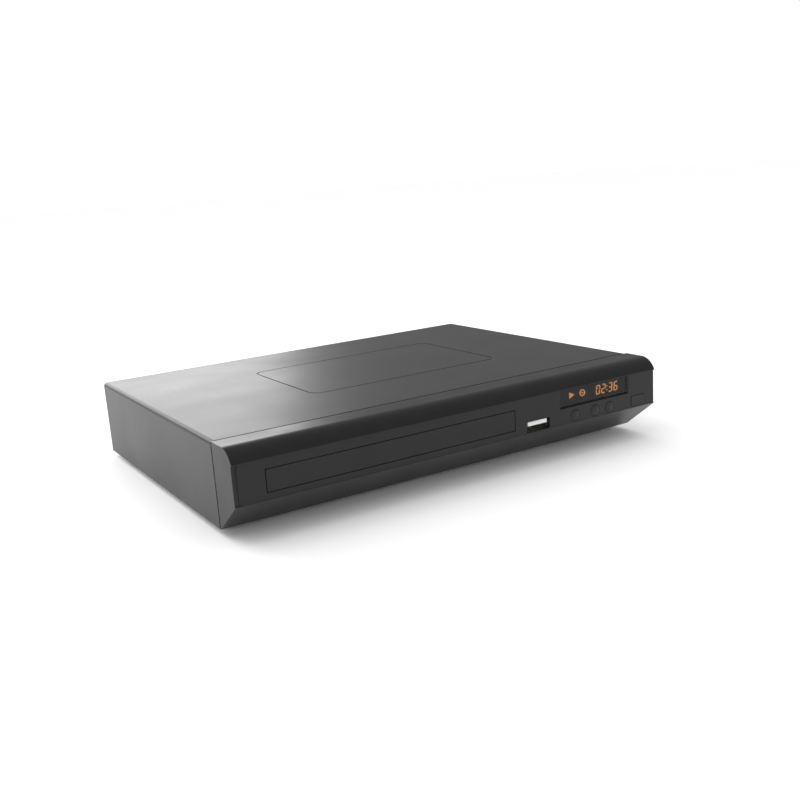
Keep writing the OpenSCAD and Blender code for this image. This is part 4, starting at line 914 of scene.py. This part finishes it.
@dataclass
class Pickup(Assembly):
    """Lift frame, traverse plate, spindle, sled and lens."""

    coil_half: float = 0.33
    coil_gap: float = 0.35
    coil_inset: float = 1.0
    coil_low: float = 0.3
    coil_high: float = 2.0

    def nodes(self) -> dict[str, Look]:
        """Returns the look of each node."""
        return {"lift_frame": (Finish.DARK_PLASTIC, 0.15), "traverse_plate": (Finish.ZINC_STEEL, 0.1),
                "traverse_dampers": (Finish.FOOT_RUBBER, 0.15), "damper_screws": (Finish.SOCKET_METAL, 0.12),
                "spindle_motor": (Finish.SOCKET_METAL, 0.3), "turntable": (Finish.DARK_PLASTIC, 0.12),
                "turntable_mat": (Finish.FOOT_RUBBER, 0.05), "pickup_sled": (Finish.FERRITE, 0.15),
                "lens_holder": (Finish.DARK_PLASTIC, 0.12), "objective_lens": (Finish.LENS_GLASS, 0.0),
                "guide_rods": (Finish.SOCKET_METAL, 0.1), "sled_motor": (Finish.SOCKET_METAL, 0.25),
                "sled_motor_pinion": (Finish.BRASS, 0.03), "sled_gear": (Finish.WHITE_PLASTIC, 0.03)}

    def details(self) -> None:
        """Adds the focus coils at both sides of the lens holder."""
        holder = self.solids("lens_holder")[0]
        front, rear, z = holder.low[1] + self.coil_inset, holder.high[1] - self.coil_inset, holder.low[2]
        coil = Solid("focus_coil")
        for x in (holder.low[0] - self.coil_gap, holder.high[0] + self.coil_gap):
            coil.box((x - self.coil_half, front, z + self.coil_low),
                     (x + self.coil_half, rear, z + self.coil_high))
        self.add(coil, Finish.COPPER, "brass", Body.LENS, bevel_mm=0.1)


@dataclass
class Boards(Assembly):
    """Main board, power board, their parts, wires and ribbons."""

    leaded_chip: float = 7.5
    lead_pitch: float = 0.8
    lead_margin: float = 0.6
    lead_w: float = 0.35
    lead_root: float = 0.1
    lead_reach: float = 1.0
    lead_h: float = 0.25
    small_tries: int = 46
    small_left: float = 8.0
    small_front: float = 39.0
    small_clear: float = 4.5
    small_columns: tuple[int, int] = (37, 61)
    small_rows: tuple[int, int] = (23, 13)
    small_row_pitch: float = 1.05
    small_shifts: int = 3
    small_shift: float = 0.2
    small_length: float = 1.6
    small_w: float = 0.8
    small_h: float = 0.5
    small_end: float = 0.25
    small_end_proud: float = 0.02
    core_half_depth: float = 6.0
    core_foot_half: float = 2.4
    core_foot_y: float = 6.5
    core_foot_low: float = 2.9
    core_foot_high: float = 4.2
    core_yoke_h: float = 2.95
    core_rise: float = 0.3

    def nodes(self) -> dict[str, Look]:
        """Returns the look of each node."""
        return {"main_board": (Finish.CIRCUIT_BOARD, 0.05), "board_chips": (Finish.DARK_PLASTIC, 0.12),
                "power_board": (Finish.POWER_BOARD, 0.05), "transformer": (Finish.TRANSFORMER_TAPE, 0.3),
                "capacitors": (Finish.CAPACITOR_SLEEVE, 0.3), "mains_wires": (Finish.WIRE_SLEEVE, 0.0),
                "ribbon_cables": (Finish.RIBBON_WHITE, 0.0), "fuse": (Finish.FUSE_GLASS, 0.15)}

    def details(self) -> None:
        """Adds chip leads, small surface parts and the transformer's core."""
        leads = Solid("chip_leads")
        for chip in self.solids("board_chips"):
            if min(chip.length(Axis.X), chip.length(Axis.Y)) > self.leaded_chip:
                self.lead_rows(leads, chip)
        self.add(leads, Finish.TIN, "socket_metal")
        self.small_parts()
        self.core()

    def lead_rows(self, leads: Solid, chip: Span) -> None:
        """Adds the leads along the front and back of a chip.

        Args:
            leads: Solid that takes them.
            chip: Box of the chip.
        """
        z = chip.low[2]
        for i in range(int((chip.length(Axis.X) - self.lead_margin) / self.lead_pitch)):
            x = chip.low[0] + self.lead_margin + i * self.lead_pitch
            for side, out in ((chip.low[1], -1), (chip.high[1], 1)):
                near, far = sorted((side - self.lead_root * out, side + self.lead_reach * out))
                leads.box((x, near, z - OVERLAP), (x + self.lead_w, far, z + self.lead_h))

    def small_parts(self) -> None:
        """Adds the small surface parts on the rear half of the main board."""
        board = self.solids("main_board")[0]
        tall = [span.middle for name in ("capacitors", "case_screws") for span in self.solids(name)]
        bodies, ends = Solid("small_parts"), Solid("small_part_ends")
        (column_step, columns), (row_step, rows) = self.small_columns, self.small_rows
        for i in range(self.small_tries):
            x = board.low[0] + self.small_left + i * column_step % columns
            y = board.low[1] + self.small_front + (i * row_step % rows) * self.small_row_pitch
            y += (i % self.small_shifts) * self.small_shift
            if all(math.hypot(x - a, y - b) > self.small_clear for a, b, _ in tall):
                self.small_part(bodies, ends, (x, y, board.high[2] - 2 * OVERLAP))
        self.add(bodies, Finish.TAN_CHIP, "dark_plastic")
        self.add(ends, Finish.TIN, "socket_metal")

    def small_part(self, bodies: Solid, ends: Solid, place: Point) -> None:
        """Adds one small surface part.

        Args:
            bodies: Solid that takes its body.
            ends: Solid that takes its two ends.
            place: Its lower front left corner in mm.
        """
        x, y, z = place
        end, proud = self.small_end, self.small_end_proud
        right = x + self.small_length - end
        bodies.box((x + end, y, z), (right, y + self.small_w, z + self.small_h))
        for left in (x, right):
            ends.box((left, y - proud, z), (left + end, y + self.small_w + proud, z + self.small_h + proud))

    def core(self) -> None:
        """Adds the transformer's ferrite core: two feet and a yoke across the top."""
        coil = self.solids("transformer")[0]
        x, y, _ = coil.middle
        half = coil.length(Axis.X) / 2 + self.core_rise
        core = Solid("transformer_core")
        for foot_y in (y - self.core_foot_y, y + self.core_foot_y):
            core.box((x - half, foot_y - self.core_foot_half, coil.low[2] + self.core_foot_low),
                     (x + half, foot_y + self.core_foot_half, coil.low[2] + self.core_foot_high))
        core.box((x - half, y - self.core_half_depth, coil.high[2] - self.core_yoke_h),
                 (x + half, y + self.core_half_depth, coil.high[2] + self.core_rise))
        self.add(core, Finish.FERRITE, "dark_plastic", bevel_mm=0.2)


@dataclass
class RearSockets(Assembly):
    """Mains inlet, digital video socket and the round sockets."""

    colours: tuple[Finish, ...] = (Finish.YELLOW_PLASTIC, Finish.RED_PLASTIC, Finish.WHITE_PLASTIC,
                                   Finish.GREY_PLASTIC)
    rear_ring: Pair = (3.66, 1.66)
    rear_ring_depth: float = 0.62
    rear_ring_t: float = 0.4
    base_ring: Pair = (5.9, 4.2)
    base_ring_gap: float = 0.02
    base_ring_t: float = 0.25
    sleeve: Pair = (1.64, 1.45)
    sleeve_length: float = 13.3
    sleeve_depth: float = 0.7
    pin_pitch: float = 8.6
    pin_r: float = 1.18
    pin_length: float = 8.85
    pin_root: float = 11.8
    tip_r: float = 0.8
    tip_length: float = 0.25
    tip_root: float = 2.96
    video_contacts: int = 9
    video_pitch: float = 1.1
    video_left: float = 2.75
    video_front: float = 2.3
    video_rear: float = 1.9
    video_w: float = 0.5
    video_drop: float = 0.07

    def nodes(self) -> dict[str, Look]:
        """Returns the look of each node."""
        return {"mains_inlet": (Finish.DARK_PLASTIC, 0.2), "hdmi_socket": (Finish.SOCKET_METAL, 0.05),
                "jack_block": (Finish.DARK_PLASTIC, 0.15), "jack_collars": (Finish.SOCKET_METAL, 0.08)}

    def details(self) -> None:
        """Adds coloured insulators, contact sleeves, mains pins and socket contacts."""
        collars = self.solids("jack_collars")
        contacts = Solid("socket_contacts")
        for column, left in enumerate(sorted({collar.low[0] for collar in collars})):
            ring = Solid(f"insulator_{column + 1}")
            for collar in (c for c in collars if c.low[0] == left):
                self.jack(ring, contacts, collar)
            self.add(ring, self.colours[column % len(self.colours)], "dark_plastic", bevel_mm=0.04)
        self.video(contacts)
        self.add(contacts, Finish.GOLD, "socket_metal")
        self.add(self.pins(), Finish.TIN, "socket_metal", bevel_mm=0.1)

    def jack(self, ring: Solid, contacts: Solid, collar: Span) -> None:
        """Adds the insulator rings and the contact sleeve of one round socket.

        Args:
            ring: Solid that takes the rings.
            contacts: Solid that takes the sleeve.
            collar: Box of the socket's metal collar.
        """
        x, _, z = collar.middle
        front, rear = collar.low[1], collar.high[1]
        for solid, y, length, (outer, inner) in (
                (ring, rear - self.rear_ring_depth, self.rear_ring_t, self.rear_ring),
                (ring, front + self.base_ring_gap, self.base_ring_t, self.base_ring),
                (contacts, rear - self.sleeve_length - self.sleeve_depth, self.sleeve_length, self.sleeve)):
            solid.disc((x, y, z), outer, length, Axis.Y, inner)

    def video(self, contacts: Solid) -> None:
        """Adds the contacts under the tongue of the digital socket.

        Args:
            contacts: Solid that takes them.
        """
        socket = self.solids("hdmi_socket")[0]
        z = socket.middle[2]
        for i in range(self.video_contacts):
            x = socket.low[0] + self.video_left + i * self.video_pitch
            contacts.box((x, socket.low[1] + self.video_front, z - self.video_drop),
                         (x + self.video_w, socket.high[1] - self.video_rear, z + OVERLAP))

    def pins(self) -> Solid:
        """Makes the two mains pins with their tips.

        Returns:
            The pins.
        """
        inlet = self.solids("mains_inlet")[0]
        x, _, z = inlet.middle
        rear = inlet.high[1]
        pins = Solid("mains_pins")
        for pin_x in (x - self.pin_pitch / 2, x + self.pin_pitch / 2):
            pins.disc((pin_x, rear - self.pin_root, z), self.pin_r, self.pin_length, Axis.Y)
            pins.disc((pin_x, rear - self.tip_root, z), self.tip_r, self.tip_length, Axis.Y)
        return pins


# ---------------------------------------------------------------------- studio


@dataclass(frozen=True)
class Lamp:
    """One soft lamp aimed at a point."""

    name: str
    place: Point
    aim: Point
    size: Pair
    watts: float

    def build(self) -> None:
        """Adds the lamp."""
        data = bpy.data.lights.new(self.name, "AREA")
        data.shape = "RECTANGLE"
        data.size, data.size_y = self.size
        data.energy = self.watts
        lamp = bpy.data.objects.new(self.name, data)
        lamp.location = self.place
        lamp.rotation_euler = (Vector(self.aim) - Vector(self.place)).to_track_quat("-Z", "Y").to_euler()
        bpy.context.scene.collection.objects.link(lamp)


@dataclass(frozen=True)
class Eye:
    """The camera, as found from the photo."""

    place: Point = (-0.2374, -0.4232, 0.14)
    azimuth: float = -31.17
    elevation: float = 13.61
    roll: float = 3.91
    lens_mm: float = 43.3
    sensor_mm: float = 36.0
    clip: Pair = (0.01, 50.0)

    def build(self) -> None:
        """Adds the camera and makes it the scene's own."""
        a, e, r = (math.radians(v) for v in (self.azimuth, self.elevation, self.roll))
        back = Vector((math.sin(a) * math.cos(e), -math.cos(a) * math.cos(e), math.sin(e)))
        right = Vector((0, 0, 1)).cross(back).normalized()
        up = back.cross(right)
        x = math.cos(r) * right - math.sin(r) * up
        y = math.sin(r) * right + math.cos(r) * up
        data = bpy.data.cameras.new("eye")
        data.lens = self.lens_mm
        data.sensor_width = self.sensor_mm
        data.clip_start, data.clip_end = self.clip
        camera = bpy.data.objects.new("eye", data)
        camera.matrix_world = Matrix.Translation(self.place) @ Matrix((x, y, back)).transposed().to_4x4()
        bpy.context.scene.collection.objects.link(camera)
        bpy.context.scene.camera = camera


@dataclass(frozen=True)
class Studio:
    """Floor, world and lamps."""

    floor_half: float = 6.0
    floor_colour: Colour = (0.86, 0.86, 0.86)
    floor_shade: float = 0.985
    floor_patches: Pattern = Pattern(9.0, 4.0)
    floor_roughness: float = 0.9
    floor_gloss: float = 0.1
    ambient: float = 1.2
    mirrored: float = 0.4
    backdrop: float = 1.0
    lamps: tuple[Lamp, ...] = (
        Lamp("top", (-0.5, 0.2, 1.6), (0, 0, 0), (1.4, 1.2), 5.0),
        Lamp("back", (0.11, 1.7, 0.38), (-0.1, 0, 0.04), (1.2, 0.76), 11.0),
        Lamp("rear_floor", (-0.34, 0.45, 0.4), (-0.26, 0.28, 0), (0.35, 0.35), 1.1),
    )

    def build(self) -> None:
        """Builds the studio."""
        self.floor()
        self.world()
        for lamp in self.lamps:
            lamp.build()

    def floor(self) -> None:
        """Adds the pale floor."""
        data = bpy.data.meshes.new("floor")
        half = self.floor_half
        edge = [(-half, -half, 0), (half, -half, 0), (half, half, 0), (-half, half, 0)]
        data.from_pydata(edge, [], [(0, 1, 2, 3)])
        g = Graph("floor_paper")
        tone = g.mixed(g.ranged(g.noise(self.floor_patches), 0.0, 1.0), self.floor_colour,
                       shade(self.floor_colour, self.floor_shade))
        g.principled(Base_Color=tone, Roughness=self.floor_roughness, Specular_IOR_Level=self.floor_gloss)
        data.materials.append(g.material)
        plane = bpy.data.objects.new("floor", data)
        bpy.context.scene.collection.objects.link(plane)

    def world(self) -> None:
        """Sets a white backdrop with a plain level of soft light."""
        world = bpy.data.worlds.new("studio")
        bpy.context.scene.world = world
        world.use_nodes = True
        tree = world.node_tree
        tree.nodes.clear()
        path = tree.nodes.new("ShaderNodeLightPath")
        out = tree.nodes.new("ShaderNodeOutputWorld")
        last = self.light(tree, self.ambient)
        for ray, strength in (("Is Glossy Ray", self.mirrored), ("Is Camera Ray", self.backdrop)):
            mix = tree.nodes.new("ShaderNodeMixShader")
            tree.links.new(path.outputs[ray], mix.inputs[0])
            tree.links.new(last, mix.inputs[1])
            tree.links.new(self.light(tree, strength), mix.inputs[2])
            last = mix.outputs[0]
        tree.links.new(last, out.inputs["Surface"])
        bpy.context.scene.view_settings.view_transform = "Standard"

    def light(self, tree: bpy.types.NodeTree, strength: float) -> bpy.types.NodeSocket:
        """Adds an even white light to the world.

        Args:
            tree: The world's node tree.
            strength: Strength of the light.

        Returns:
            The light's socket.
        """
        node = tree.nodes.new("ShaderNodeBackground")
        node.inputs["Color"].default_value = (1.0, 1.0, 1.0, 1.0)
        node.inputs["Strength"].default_value = strength
        return node.outputs[0]


def main() -> None:
    """Builds the player's looks in order."""
    logging.basicConfig(level=logging.INFO, format="%(name)s: %(message)s")
    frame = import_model()
    bpy.context.view_layer.update()
    palette = Palette()
    for kind in (Case, FrontPanel, TrayLoader, Pickup, Boards, RearSockets):
        kind(frame, palette).build()
    Studio().build()
    Eye().build()


if __name__ == "__main__":
    main()
